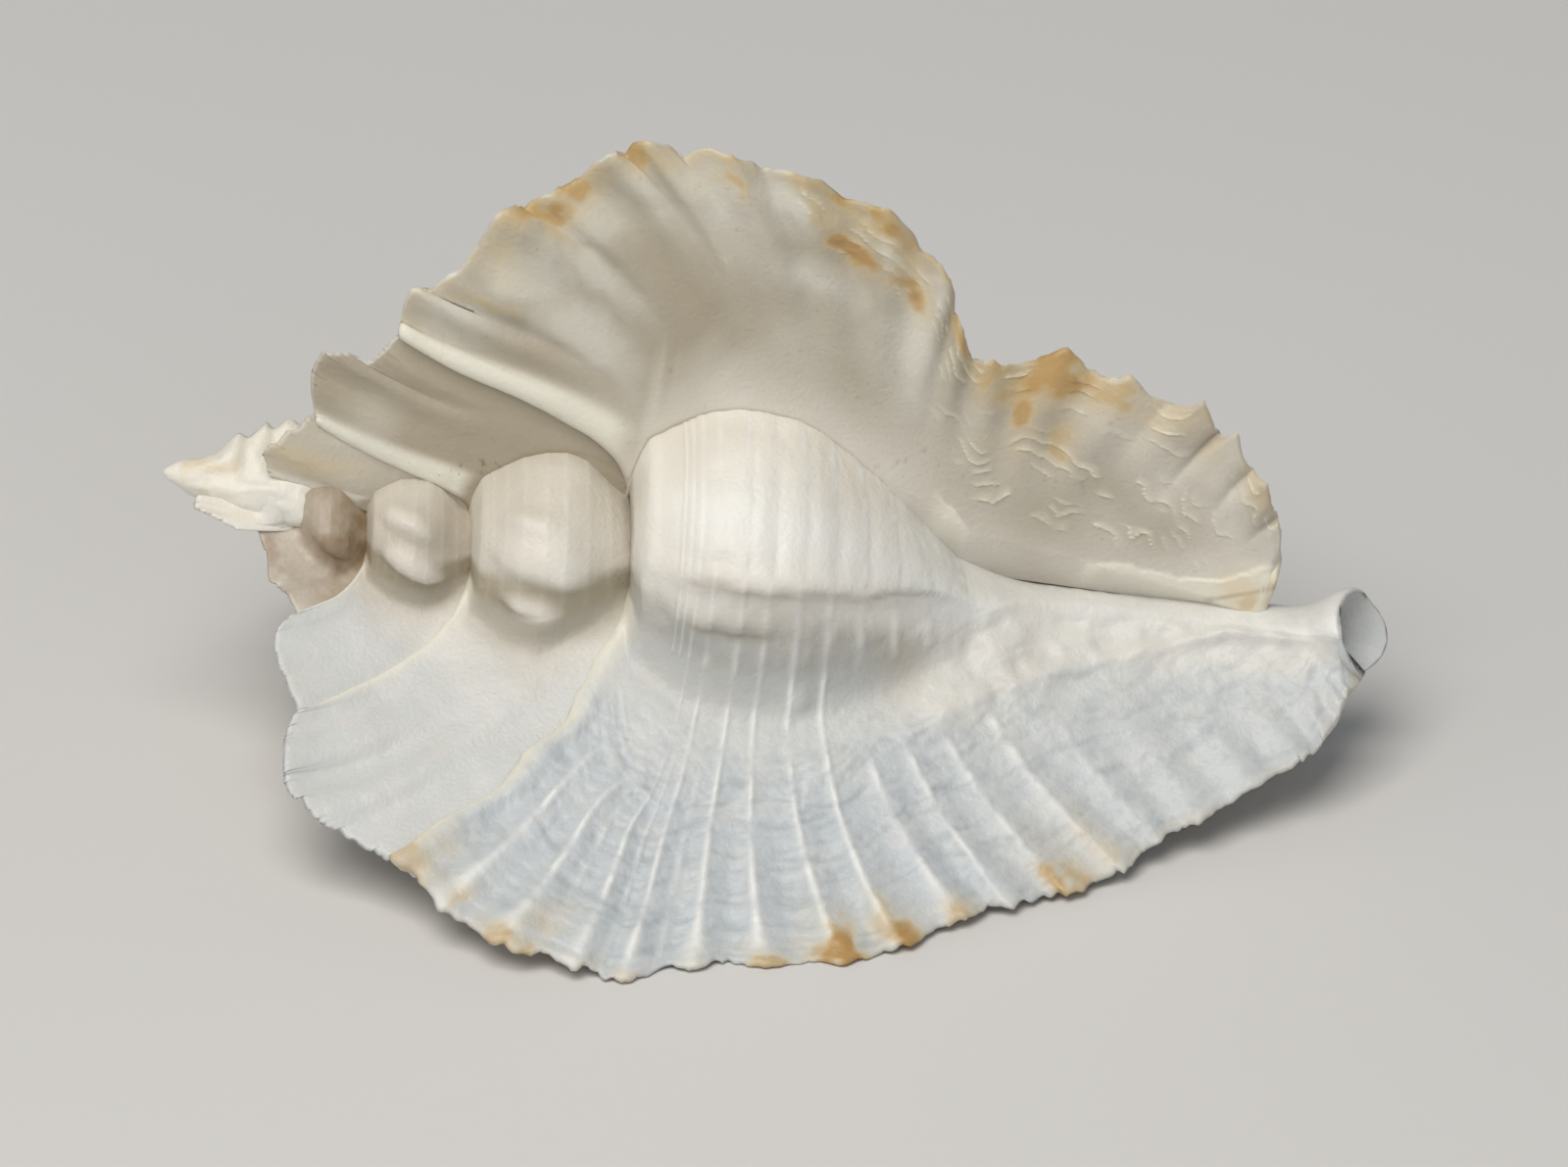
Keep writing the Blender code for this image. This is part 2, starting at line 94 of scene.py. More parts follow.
# The angle of each chunk's wing round the axis, in degrees: the wing at -60 stands up. The next
# two values turn one old wing's tip, which grew askew.
WING_ANGLE = (60, -60, -180, -300, -420, -540, -660, -765, -900, -1020, -1140, -1275, -1390)
TWISTED_WING = 7
TWIST = 15.0

# For the last three lips: where the suture meets them, how far the cords are spread, the girth,
# and the end of the canal. Older lips are smaller by the whorl ratio for each turn.
SUTURE = (29.2, 28.1, 23.9)
STRETCH = (1.05, 1.0, 0.86)
GIRTH = (1.07, 1.0, 0.82)
OLD_STRETCH = (0.72, 0.667, 0.573)
OLD_GIRTH = (0.68, 0.62, 0.54)
CANAL_END = (80.3, 68.4, 60.6)
OLD_CANAL = 39.0
WHORL_RATIO = 1.5
LAST_ROW = 19.0
OLD_LAST_ROW = 9.6

# The cords on the body: the row at which each lies. The first ones crowd below the shoulder.
BODY_CORDS = (2.75, 3.1, 3.4, 3.75, 4.3, 5.2, 6.05, 7.0, 7.95, 8.9, 9.9, 10.9, 11.9,
              13, 14, 15, 16, 17, 18, 19)

# How far the sheet of each of the last three wings waves at its cords, back or forth.
FOLD_HEIGHT = (-0.2, 0.3, -0.3)

# How far the later half of each older wing is set back or forth.
OLD_LEAN = (0.34, -0.34, 0.0)

# Growth halts of each chunk: (reach, first row, last row, height of the step).
HALTS = {
    0: ((0.41, 2.6, 8.7, 0.26), (0.7, 0.4, 4.0, 0.14), (0.78, 5.0, 11.5, 0.12),
        (0.55, 9.0, 14.0, 0.12)),
    1: ((0.48, 2.0, 9.0, 0.25), (0.75, 5.0, 12.0, 0.15)),
    2: ((0.42, 1.5, 9.5, 0.3), (0.72, 4.0, 12.0, 0.15)),
}

# The lumpy ridge along the canal, on the wing's back: its reach at these rows.
CANAL_RIDGE_ROWS = (8.0, 8.6, 10.7, 12.8, 14.5, 16.0, 17.0)
CANAL_RIDGE_REACH = (0.34, 0.30, 0.28, 0.31, 0.23, 0.08, 0.05)

# The main ridge round the last whorl: its angle at these rows.
RIDGE_ROWS = (3.6, 6.0, 9.0, 10.6, 11.8)
RIDGE_TURN = (-50.0, -50.5, -55.0, -64.0, -71.0)

# Knobs and ridges round each chunk's body: (row, angle, rows wide, degrees wide, height). The
# main one of the last whorl follows the ridge.
KNOBS = {
    0: ((7.0, -50.5, 4.8, 24.0, 0.85), (4.6, -34.0, 1.7, 10.0, 0.5), (4.4, -58.0, 1.2, 8.0, 0.22)),
    3: ((4.9, -42.0, 2.4, 20.0, 0.85), (4.2, -68.0, 1.3, 8.0, 0.3), (4.6, -20.0, 1.6, 9.0, 0.7)),
    6: ((4.2, -68.0, 1.9, 15.0, 0.7), (4.8, -34.0, 2.4, 15.0, 0.85)),
    9: ((5.6, -28.0, 2.4, 22.0, 0.8),),
}
MAIN_KNOB = 0

# Ochre stains of each chunk: (row, reach, rows wide, reach wide, strength).
STAINS = {
    0: ((0.2, 0.97, 0.45, 0.05, 0.6), (1.0, 0.98, 0.25, 0.05, 0.5), (2.1, 1.0, 0.5, 0.03, 0.7),
        (2.3, 0.9, 0.3, 0.05, 0.35), (5.0, 1.0, 0.22, 0.03, 0.6), (6.0, 1.0, 0.3, 0.04, 0.7),
        (7.0, 0.98, 0.35, 0.08, 1.0), (8.05, 0.97, 0.35, 0.05, 1.0),
        (8.05, 0.88, 0.22, 0.06, 0.5), (9.0, 0.99, 0.3, 0.04, 0.7),
        (11.1, 0.97, 0.4, 0.07, 0.85), (12.0, 0.93, 0.3, 0.08, 0.4), (4.0, 1.0, 0.3, 0.02, 0.4),
        (3.2, 1.0, 0.3, 0.02, 0.35), (10.0, 1.0, 0.3, 0.02, 0.3)),
    1: ((3.6, 0.98, 0.5, 0.05, 0.9), (4.4, 0.99, 0.4, 0.035, 0.8), (5.7, 0.97, 0.45, 0.05, 0.85),
        (6.2, 0.94, 0.3, 0.05, 0.4), (7.0, 1.0, 0.3, 0.03, 0.6), (6.9, 0.91, 0.2, 0.03, 0.6),
        (8.1, 1.0, 0.4, 0.03, 0.5), (8.2, 0.86, 0.12, 0.1, 0.4), (8.9, 0.97, 0.45, 0.045, 1.0),
        (9.3, 0.9, 0.2, 0.08, 0.5), (8.55, 0.79, 0.35, 0.035, 0.95),
        (9.4, 0.79, 0.4, 0.04, 0.95), (10.1, 0.99, 0.25, 0.04, 0.6),
        (11.0, 0.97, 0.5, 0.04, 0.85), (11.8, 0.9, 0.3, 0.06, 0.6),
        (12.2, 0.97, 0.5, 0.035, 0.6), (12.9, 0.9, 0.6, 0.09, 0.9),
        (12.8, 0.68, 0.22, 0.1, 0.85), (12.2, 0.52, 0.2, 0.05, 0.35),
        (13.5, 0.58, 0.2, 0.05, 0.5), (13.5, 0.49, 0.2, 0.03, 0.6),
        (13.9, 0.93, 0.35, 0.07, 0.65), (14.6, 0.92, 0.4, 0.07, 0.45),
        (15.6, 0.93, 0.4, 0.06, 0.3), (17.0, 0.95, 0.3, 0.05, 0.3), (18.2, 0.2, 0.5, 0.15, 0.6),
        (18.9, 0.7, 0.3, 0.3, 0.35), (2.6, 0.95, 0.25, 0.04, 0.45), (1.8, 0.9, 0.15, 0.04, 0.5),
        (1.2, 1.0, 0.6, 0.03, 0.35), (3.2, 0.88, 0.25, 0.05, 0.3)),
    7: ((3.0, 0.9, 1.5, 0.2, 0.35),),
    12: ((3.5, 0.7, 2.0, 0.4, 0.15),),
}

# Bluish, slightly clear patches on the upper wing's face: (row, reach, rows wide, reach wide).
CLEAR = (
    (1.2, 0.93, 0.8, 0.06), (2.6, 0.86, 0.5, 0.1), (3.9, 0.88, 0.6, 0.06), (3.2, 0.7, 0.5, 0.1),
    (5.2, 0.86, 0.5, 0.07), (6.5, 0.86, 0.5, 0.08), (7.7, 0.88, 0.4, 0.08), (9.1, 0.87, 0.3, 0.05),
    (10.0, 0.9, 0.3, 0.06), (7.8, 0.62, 0.8, 0.05), (9.9, 0.55, 0.8, 0.2), (2.2, 0.6, 0.5, 0.14),
)

# The section: where the bore is offset to, how early and how steeply the body flares into the
# wing, half thicknesses, the wall, and how far round each chunk begins.
BORE_ANGLE = 45.0
FLARE_TURN = 14.0
CANAL_FLARE_TURN = 32.0
FLARE_POWER = 2.4
WING_HALF = 0.62
EDGE_HALF = 0.24
CLASP_HALF = 0.35
WALL = 1.0
SOLID_BORE = 0.6
START_TURN = -150.0

# The canal: how far round it wraps, how much longer it is on its far side, and its slanted mouth.
CANAL_WRAP = -322.0
CANAL_LONGER = 8.6
MOUTH_OVERLAP = 30.0
MOUTH_SLANT = 4.8
MOUTH_THIN = 0.55
MOUTH_TIP = -150.0

# The early whorls' sag, and the canal's recurved end: where, how much, and which way.
APEX_DROP = 2.3
APEX_DROP_AT = 15.0
APEX_DROP_REACH = 10.0
RECURVE_FROM = 62.0
RECURVE_OVER = 14.0
RECURVE_TURN = 26.0
RECURVE_MERIDIAN = 8.0

# The first whorls' cone: the way that is up on it, and its stations (along, height above the
# axis, height below it, half depth).
APEX_UP = (0.5, 0.855)
APEX = (
    (-0.08, 0.02, 0.02, 0.02), (0.05, 0.26, 0.26, 0.24), (0.35, 0.55, 0.48, 0.42),
    (0.8, 0.9, 0.68, 0.62), (1.5, 1.2, 1.0, 0.9), (2.8, 1.7, 1.25, 1.15), (3.5, 2.6, 1.35, 1.3),
    (4.2, 3.2, 1.4, 1.5), (5.6, 3.7, 1.4, 1.8), (6.85, 4.4, 1.4, 2.1), (8.0, 5.4, 1.4, 2.2),
    (9.3, 6.2, 1.3, 2.1), (10.6, 6.6, 1.2, 1.9), (11.4, 5.2, 0.9, 1.4), (11.7, 0.02, 0.02, 0.02),
)

# How the shell lies: turned about its own axis and tipped, with its apex at this place.
PITCH = 8.9
ROLL = 1.85
TIP_AT = (-37.514, 3.813, 18.863)
WORN = 0.10
LYING = (Matrix.Rotation(math.radians(-ROLL), 3, "X")
         @ Matrix.Rotation(math.radians(PITCH), 3, "Y"))

# The photograph: its width in pixels and its scale. The camera: its right and up in the shell's
# coordinates, the point it looks at, as (right, up) of the apex, and its distance.
PHOTO_WIDE = 1600
PIXELS_PER_MM = 16.67
VIEW_RIGHT = (0.98713, 0.0, 0.15988)
VIEW_UP = (-0.13846, 0.5, 0.85488)
VIEW_CENTRE = (37.91, -7.05)
VIEW_DISTANCE = 900.0


def smooth_rows(rows, at):
    """Values between rows, by a cubic through every row (columns are separate quantities)."""
    rows = np.asarray(rows, float)
    if rows.ndim == 1:
        rows = rows[:, None]
    last = len(rows) - 1
    at = np.clip(np.asarray(at, float), 0.0, last)
    low = np.minimum(at.astype(int), last - 1)
    f = (at - low)[:, None]
    before = rows[np.maximum(low - 1, 0)]
    after = rows[np.minimum(low + 2, last)]
    one, two = rows[low], rows[low + 1]
    slope_one = (two - before) / np.where(low > 0, 2.0, 1.0)[:, None]
    slope_two = (after - one) / np.where(low + 2 <= last, 2.0, 1.0)[:, None]
    square, cube = f * f, f * f * f
    return (one * (2 * cube - 3 * square + 1) + slope_one * (cube - 2 * square + f)
            + two * (3 * square - 2 * cube) + slope_two * (cube - square))


def ramp(low, high, x):
    """0 below low, 1 above high, and a cubic between."""
    t = np.clip((x - low) / (high - low), 0.0, 1.0)
    return t * t * (3 - 2 * t)


def unit(x):
    """The value held between 0 and 1."""
    return np.clip(x, 0.0, 1.0)


def hump(x, at, wide, power=2):
    """1 at one place and 1 / e at a width from it: exp(-|(x - at) / wide| ^ power)."""
    return np.exp(-np.abs((x - at) / wide) ** power)


def between(x, low, first, last, high):
    """0 outside low and high, 1 from first to last, with smooth steps between."""
    return ramp(low, first, x) * (1 - ramp(last, high, x))


def noise(points, size, seed=0):
    """Lumps of about one size, from -1 to 1: random numbers on a cubic lattice, blended."""
    p = points / size + 31.7 * seed + 100.0
    cell = np.floor(p)
    f = p - cell
    f = f * f * (3 - 2 * f)
    cell = cell.astype(np.int64)
    total = np.zeros(p.shape[:-1])
    for corner in np.ndindex(2, 2, 2):
        n = (cell + np.array(corner)) & 0xFFFF
        mixed = (n[..., 0] * 73856093) ^ (n[..., 1] * 19349663) ^ (n[..., 2] * 83492791)
        mixed = (mixed ^ (mixed >> 11)) * 2654435761 & 0xFFFFFFFF
        mixed = (mixed ^ (mixed >> 15)) & 0xFFFF
        near = np.where(np.array(corner) == 1, f, 1 - f)
        total += np.prod(near, axis=-1) * (mixed / 32767.5 - 1.0)
    return total


def noises(points, *layers):
    """Lumps of several sizes added up, each layer being (amount, size, seed)."""
    return sum(amount * noise(points, size, seed) for amount, size, seed in layers)


def vectors(*axes):
    """Arrays, one for each axis, as one array of vectors."""
    return np.stack(np.broadcast_arrays(*axes), axis=-1)


def line(x):
    """Points along one straight line through the noise."""
    return vectors(x, 3.3, 7.7)


def varix(k):
    """(suture, stretch, girth, end of canal) of the lip that made wing k."""
    if k < 3:
        return SUTURE[k], STRETCH[k], GIRTH[k], CANAL_END[k]
    turns = k // 3
    shrink = WHORL_RATIO ** turns
    older = WHORL_RATIO ** (turns - 1)
    suture = SUTURE[k % 3] / shrink
    stretch = OLD_STRETCH[k % 3] / older
    return suture, stretch, OLD_GIRTH[k % 3] / older, suture + OLD_CANAL * stretch


def detail(k):
    """The scale of a chunk's details: 1 on the last whorl and less on the older ones."""
    return min(1.0, varix(k)[2])


def generating_line(k, rows):
    """(along, girth, bore offset) of wing k's lip at each cord row."""
    suture, stretch, girth, canal_end = varix(k)
    along = [suture + stretch * step for step in CORD_ALONG]
    along += [along[-1] + share * (canal_end - along[-1]) for share in CANAL_SHARE]
    table = np.column_stack([along, np.array(CORD_GIRTH) * girth, np.array(BORE_OFFSET) * girth])
    return smooth_rows(table, rows).T


def edge_line(k, rows):
    """The wing's edge: a curve through the cords' ends, then its teeth and small chips.

    With n the distance from the nearest cord, as a share of the gap, a tooth is
    0.75 (1 - n)^1.6 - 0.3 and a lobe 0.85 (1 - n^2.5) - 0.45. The upper wing has lobes at its
    first cords and long teeth at the others. Returns the distances from the apex and from the
    axis, and what teeth and chips add to the second.
    """
    near = np.abs(rows - np.round(rows))
    at = rows + 40.0 * k
    chips = noises(line(at), (0.8, 0.37, 5), (0.6, 0.15, 6), (0.4, 0.08, 7))
    if k < 3:
        a, rho = smooth_rows((LIP_EDGE, UPPER_EDGE, BACK_EDGE)[k], rows).T
        each = 1.0 + 0.5 * noise(line(np.round(rows) * 5.0 + 11.0 * k), 1.7, 2)
        point = 0.75 * (1 - 2 * near) ** 1.6 - 0.3
        lobe = 0.85 * (1 - (2 * near) ** 2.5) - 0.45
        lobed = (1 - ramp(9.5, 12.5, rows)) if k == 1 else 0.35
        long = 1.0 + (0.35 + 0.75 * ramp(12.0, 14.0, rows)) * (k == 1)
        out = (0.6 if k == 2 else 0.85) * long * each * (point + (lobe - point) * lobed)
        fade = unit((LAST_ROW - rows) / 2.0)
        if k == 0:
            out = out * (1 - 0.65 * ramp(12.6, 13.6, rows))
        return np.stack([a, rho, out * fade, (0.42 if k == 0 else 0.3) * chips * fade])
    table, size = OLDER_EDGES[k], varix(k)[2]
    a, rho = smooth_rows(table, rows / OLD_LAST_ROW * (len(table) - 1)).T
    lobe = 0.55 * size * (1 - (2 * np.abs(rows / 1.6 - np.round(rows / 1.6))) ** 2)
    return np.stack([a, rho, lobe, 0.4 * size * chips])


def mid_surface(a, rho):
    """How far a wing leans back from its half plane: a parabola, and a wave along the edge."""
    return -0.0016 * rho ** 2 + 0.45 * np.sin(a / 4.3) * (rho / 26.0) ** 2


def swelling(k, row, theta):
    """Growth ridges and knobs round the body, as an addition to the girth.

    Each is a hump across the rows times a hump round the body, which for the listed knobs is
    wide on the older side and breaks off short on the side that grew last.
    """
    girth = varix(k)[2]
    if k < 3:
        ridge = np.interp(row, RIDGE_ROWS, RIDGE_TURN)
        main = 0.40 * hump(theta, ridge + 1.5, 6.5) * hump(row, 6.5, 4.5, 4)
        total = girth * (main + 0.5 * hump(row, 3.4, 1.1) * hump(theta, -31.0, 6.0))
    else:
        two = 0.95 * hump(theta, -62.0, 12.0) + 0.9 * hump(theta, -20.0, 10.0)
        total = 0.20 * girth * hump(row, 5.0, 3.0) * two
    knobs = KNOBS.get(0 if k == 1 else k, ())
    for index, (at_row, at_turn, rows_wide, turn_wide, height) in enumerate(knobs):
        slant = 0.9 * np.cos(2 * np.pi * row) if k == 0 else 3.5 * (row - at_row)
        if k < 3 and index == MAIN_KNOB:
            slant = slant + ridge - at_turn
        past = theta - at_turn - slant
        along = np.where(past < 0, past / turn_wide, past / (0.22 * turn_wide + 4.0 * (k > 2)))
        total = total + height * hump(row, at_row, rows_wide, 2.4) * np.exp(-(along ** 2))
    return total


def folds(k, row, reach):
    """How far a wing's sheet waves across itself: a cosine along the cords, and soft lumps.

    Past the notch of the upper wing the flutes are wide and the grooves narrow: 0.6 - n^4, with
    n the distance from the nearest cord, as a share of half the gap.
    """
    near = 2.0 * np.abs(row - np.round(row))
    laid = vectors(row * 2.3, reach * 13.0, 20.0 * k)
    lumps = noise(laid, 4.6, 21)
    grow = ramp(0.2, 1.0, reach)
    if k >= 3:
        inner = between(row, 0.0, 2.0, 6.5, 8.5)
        return detail(k) * grow * inner * (0.25 * np.cos(2.2 * row + k) + 0.4 * lumps)
    narrow = ramp(14.0, 15.6, row) * (k == 1)
    wave = FOLD_HEIGHT[k] * np.cos(2 * np.pi * row) * (1 - narrow)
    wave = wave + (0.6 - near ** 4) * narrow * ramp(0.45, 1.0, reach)
    fine = noise(laid, 1.9, 39) * ramp(0.6, 0.95, reach)
    coarse_share, fine_share = (0.5, 0.35) if k == 1 else (0.25, 0.12)
    return grow * (wave + coarse_share * lumps + fine_share * fine)


def last_row(k):
    """The last row that a chunk has: the smallest chunks end where the next whorl covers them."""
    return LAST_ROW if k < 3 else OLD_LAST_ROW


def rows_for(k, count):
    """Evenly spaced rows, with closer ones where the rims at both ends turn over."""
    last = last_row(k)
    near = 0.5 * (np.linspace(0.0, 1.0, 9)[:-1]) ** 2
    return np.concatenate([near, np.linspace(0.5, last - 0.5, count), (last - near)[::-1]])


def rim(k, rows):
    """Thickness share of the rounded rims at the first and the last row: a quarter circle."""
    last = last_row(k)
    depth = unit(np.minimum(rows / 0.4, (last - rows) / (0.3 if k < 3 else 1.2)))
    return np.sqrt(1.0 - (1.0 - depth) ** 2)


def chunk_grid(k, rows, arc_count, wing_count, face_count, inner_arc):
    """Chunk k as a grid of rows by one closed ring of columns, and what each point is: at holds
    its row, its reach towards the edge and its angle round the body, and sides are 1 where it's
    on the body, on the wing's back, on the wing's front (the face) and inside.

    A ring runs round the outside of the body from the wing before, out along the back of the
    wing to its edge, back down the wing's front and round the inside to where it began. Round
    the body a point is (along, offset + r cos theta, offset + r sin theta), with along, r and
    offset drawn from the older lip's line to the newer one's in proportion to theta. The wing's
    back leaves the body as gap (1 - y)^p, with y running from 0 at its foot to 1.
    """
    counts = (arc_count, wing_count, face_count, inner_arc)
    along, girth, offset = generating_line(k, rows)[..., None]
    before_along, before_girth, before_offset = generating_line(k + 1, rows)[..., None]
    edge_a, edge_rho, teeth, chips = edge_line(k, rows)[..., None]
    row = rows[:, None]
    start = np.full(row.shape, START_TURN)
    if k >= 2:
        tuck = 1.0 - 0.32 * between(row, 5.8, 9.6, 10.0, 13.0)
        before_girth = before_girth * tuck
        girth = girth * (tuck if k > 2 else 1.0)
    if k == 0:
        before_along = before_along + unit((row - 12.0) / 7.0) * CANAL_LONGER
        start = start + (CANAL_WRAP - START_TURN) * ramp(10.2, 14.2, row)
        start = start - MOUTH_OVERLAP * ramp(15.5, 18.0, row)
    bore = math.radians(BORE_ANGLE) if k == 0 else 0.0
    slant = ramp(16.3, 19.0, row) * (k == 0)
    widened = (0.35 * ramp(18.2, 19.0, row) - 0.22 * hump(row, 17.6, 0.6)) * (k == 0)
    mouth_rise = 0.25 * ramp(17.9, 19.0, row) * (k == 0)
    turned = rim(k, row)
    half = max(0.19, WING_HALF * detail(k))
    edge_half = max(0.13, EDGE_HALF * detail(k))
    clasp = CLASP_HALF * max(0.35, varix(k)[2]) * hump(row, 0.0, 0.45)

    def circle(theta, inner):
        """Points round the body at these angles, on the outside or the inside of its wall."""
        w = np.clip(1.0 + theta / 120.0, -0.5 if k == 0 else 0.0, 1.0)
        near_side = 0.5 + 0.5 * np.cos(np.radians(np.minimum(theta + 60.0, 0.0)))
        a = before_along + (along - before_along) * w - MOUTH_SLANT * slant * near_side
        r = before_girth + (girth - before_girth) * w
        r = r * (1.0 - 0.25 * unit((start + 30.0 - theta) / 30.0))
        r = r + widened + mouth_rise * hump(theta, MOUTH_TIP, 42.0)
        shift = before_offset + (offset - before_offset) * w
        wall = np.minimum(WALL, 0.42 * r) * (1 - MOUTH_THIN * slant)
        if not inner:
            r = r + swelling(k, row, theta) - 0.5 * wall * (1 - turned) * (k == 0)
        elif k == 0:
            r = r - wall * (0.5 + 0.5 * turned)
        else:
            r, shift = SOLID_BORE * detail(k), 0.0
        turn = np.radians(theta)
        return vectors(a, shift * math.cos(bore) + r * np.cos(turn),
                       shift * math.sin(bore) + r * np.sin(turn))

    def sheet(x, from_a, from_rho, lean):
        """Where a line from the body to the edge runs, and how far the wing's middle lies back."""
        a = (from_a * (1 - x) ** 2 + edge_a * x * x
             + 2 * x * (1 - x) * (from_a * 0.9 + edge_a * 0.1))
        span = np.maximum(edge_rho - from_rho, 0.4)
        rho = from_rho + span * (1.1 * x * (1 - x) + x * x) + teeth * x ** 8 + chips * x ** 24
        wander = 0.5 * noise(line(rho + 13.0 * k), 2.6, 37) + 0.3 * noise(line(rho), 1.0, 38)
        hem = hump(row, 0.0, 0.6) * unit((rho - girth) / 3.0) * (0.5 if k == 1 else 1.0)
        a = a + detail(k) * wander * hem
        outward = unit((rho - girth) / np.maximum(edge_rho - girth, 0.4))
        sunk = OLD_LEAN[k % 3] * detail(k) * ramp(5.5, 8.0, row) * ramp(0.05, 0.4, outward)
        sunk = sunk * (k >= 3)
        return a, rho, (mid_surface(a, rho) + folds(k, row, outward)) * lean(rho) + sunk

    def half_thickness(x, at_edge):
        """Thinner towards the edge, round at it, and thicker where the wing clasps the whorl."""
        thin = half + (edge_half - half) * unit(x * at_edge)
        turn = np.sqrt(1.0 - unit((x - 0.975) / 0.025) ** 2)
        return (thin * turn + clasp * np.sqrt(turn)) * turned

    def rising(rho):
        return unit((rho - foot_rho) / long)

    def leaning(rho):
        return unit((rho - girth) / (0.5 * girth))

    sideways = offset * math.sin(bore)
    meets = np.degrees(np.arcsin(np.clip((-half - sideways) / girth, -0.97, 0.3)))
    leave = meets - FLARE_TURN - CANAL_FLARE_TURN * ramp(10.5, 14.0, row) * (k == 0)
    theta = start + (leave - start) * np.linspace(0.0, 1.0, arc_count)
    arc = circle(theta, False)
    foot_a, foot_rho, foot_tau = (arc[:, -1:, n] for n in range(3))
    to_edge = np.maximum(edge_rho - foot_rho, 0.4)

    x = np.linspace(0.0, 1.0, wing_count + 1)[1:] ** 0.85
    gap = -(foot_tau + half)
    steep = np.minimum(1.9, 1.0 / np.tan(np.radians(np.clip(-leave, 20.0, 80.0))))
    long = np.minimum(FLARE_POWER * gap / steep, 0.8 * to_edge)
    wing_a, wing_rho, middle = sheet(x, foot_a, foot_rho, rising)
    back = middle - half_thickness(x, 1.1) - gap * (1.0 - rising(wing_rho)) ** FLARE_POWER
    angle = np.degrees(np.arctan2(back, wing_rho))
    back = back - 0.8 * swelling(k, row, angle) * hump(wing_rho, girth, 0.35 * girth)

    z = np.linspace(1.0, 0.0, face_count + 1)[1:] ** 0.85
    if k == 0:
        lip = girth - 0.6 * np.minimum(WALL, 0.42 * girth)
    else:
        lip = np.minimum(0.35 * girth, 1.6)
        lip = lip + (0.8 * girth - lip) * (1 - ramp(10.0, 13.0, row))
    lip = lip + offset * math.cos(bore)
    front_a, front_rho, middle = sheet(z, along - MOUTH_SLANT * slant, lip, leaning)

    first = np.degrees(np.arcsin(np.clip(-sideways / girth, -0.9, 0.3))) - 4.0
    inside = first + (start - first) * np.linspace(0.0, 1.0, inner_arc)
    grid = np.concatenate([arc, vectors(wing_a, wing_rho, back),
                           vectors(front_a, front_rho, middle + half_thickness(z, 1.0)),
                           circle(inside, True)], axis=1)

    def ring(*parts):
        """One value for each point, from one for each part of the ring."""
        wide = [np.broadcast_to(v, (len(rows), n)) for v, n in zip(parts, counts)]
        return np.concatenate(wide, axis=1)

    crease, away = root_crease(k, front_a, front_rho)
    inner_edge = (edge_rho - lip) * 1.1
    place = {
        "at": (ring(row, row, row, row), ring(0, x, z, 0), ring(theta, angle, 0, inside)),
        "sides": [ring(*one) for one in np.eye(4)],
        "to_edge": ring(to_edge * 1.2, to_edge * (1 - x) * 1.2, inner_edge * (1 - z), inner_edge),
        "crease": ring(suture_crease(k, row, arc), 0, crease, 0),
        "away": ring(9.0, 9.0, away, 9.0),
        "half": ring(9.0, half_thickness(x, 1.1), half_thickness(z, 1.0), 9.0),
        "counts": counts,
    }
    return grid, place


def root_crease(k, a, rho):
    """1 on a wing's front where the next chunk's body meets it, and the distance from there."""
    along, girth, offset = generating_line(k, np.linspace(0.0, LAST_ROW, 400))
    meet = girth - offset * (0.97 if k == 1 else 0.5)
    level = np.interp(a, along, meet)
    slope = np.clip(np.gradient(meet) / np.maximum(np.gradient(along), 1e-3), -1.5, 1.5)
    slope = np.interp(a, along, slope)
    away = (rho - level) / np.sqrt(1.0 + slope ** 2)
    width = 0.16 if k < 3 else 0.22
    there = ramp(along[0] - 0.3, along[0] + 0.2, a)
    return hump(away, 0.0, width) * there, away


def suture_crease(k, row, arc):
    """1 in the groove where whorls meet: at the first row, and where the next whorl starts."""
    own = hump(row, 0.0, 0.14)
    if k < 3:
        return own
    theta = np.degrees(np.arctan2(arc[..., 2], arc[..., 1]))
    w = unit(1.0 + theta / 120.0)
    newer, older = varix(k - 3)[0], varix(k - 2)[0]
    gap = (older + (newer - older) * w - arc[..., 0]) / (0.5 * detail(k) + 0.1)
    return np.maximum(own, np.exp(-np.clip(gap, 0.0, None) ** 2))


def to_shell(k, grid):
    """Half-plane coordinates of wing k to the shell's own: X along the axis, wing 1 up."""
    a, rho, tau = grid[..., 0], grid[..., 1], grid[..., 2]
    twist = TWIST * ramp(-9.0, -1.0, a + 2.18 * np.abs(rho) - 25.0) * (k == TWISTED_WING)
    turn = np.radians(WING_ANGLE[k] + 60.0 - twist)
    return bend(vectors(a, -rho * np.sin(turn) - tau * np.cos(turn),
                        rho * np.cos(turn) - tau * np.sin(turn)))


def bend(points):
    """The early whorls sag by a hump along the axis, and the canal's end follows a circle."""
    a, y, z = points[..., 0], points[..., 1], points[..., 2]
    sag = APEX_DROP * hump(a, APEX_DROP_AT, APEX_DROP_REACH)
    meridian = math.radians(RECURVE_MERIDIAN + 60.0)
    gy, gz = -math.sin(meridian), math.cos(meridian)
    beyond = np.clip((a - RECURVE_FROM) / RECURVE_OVER, 0.0, 1.3)
    turn = math.radians(RECURVE_TURN) * beyond
    full = RECURVE_OVER / math.radians(RECURVE_TURN)
    lift = y * gy + z * gz
    along = np.where(beyond > 0, RECURVE_FROM + full * np.sin(turn) - lift * np.sin(turn), a)
    rise = full * (1 - np.cos(turn)) + lift * (np.cos(turn) - 1)
    return vectors(along, y + gy * rise, z + gz * rise - sag)


def ring_normals(points):
    """Unit normals of a grid of closed rings: the cross product of its two central slopes."""
    down = np.gradient(points, axis=0)
    round_it = np.roll(points, -1, axis=1) - np.roll(points, 1, axis=1)
    normal = np.cross(down, round_it)
    return normal / np.maximum(np.linalg.norm(normal, axis=-1, keepdims=True), 1e-9)


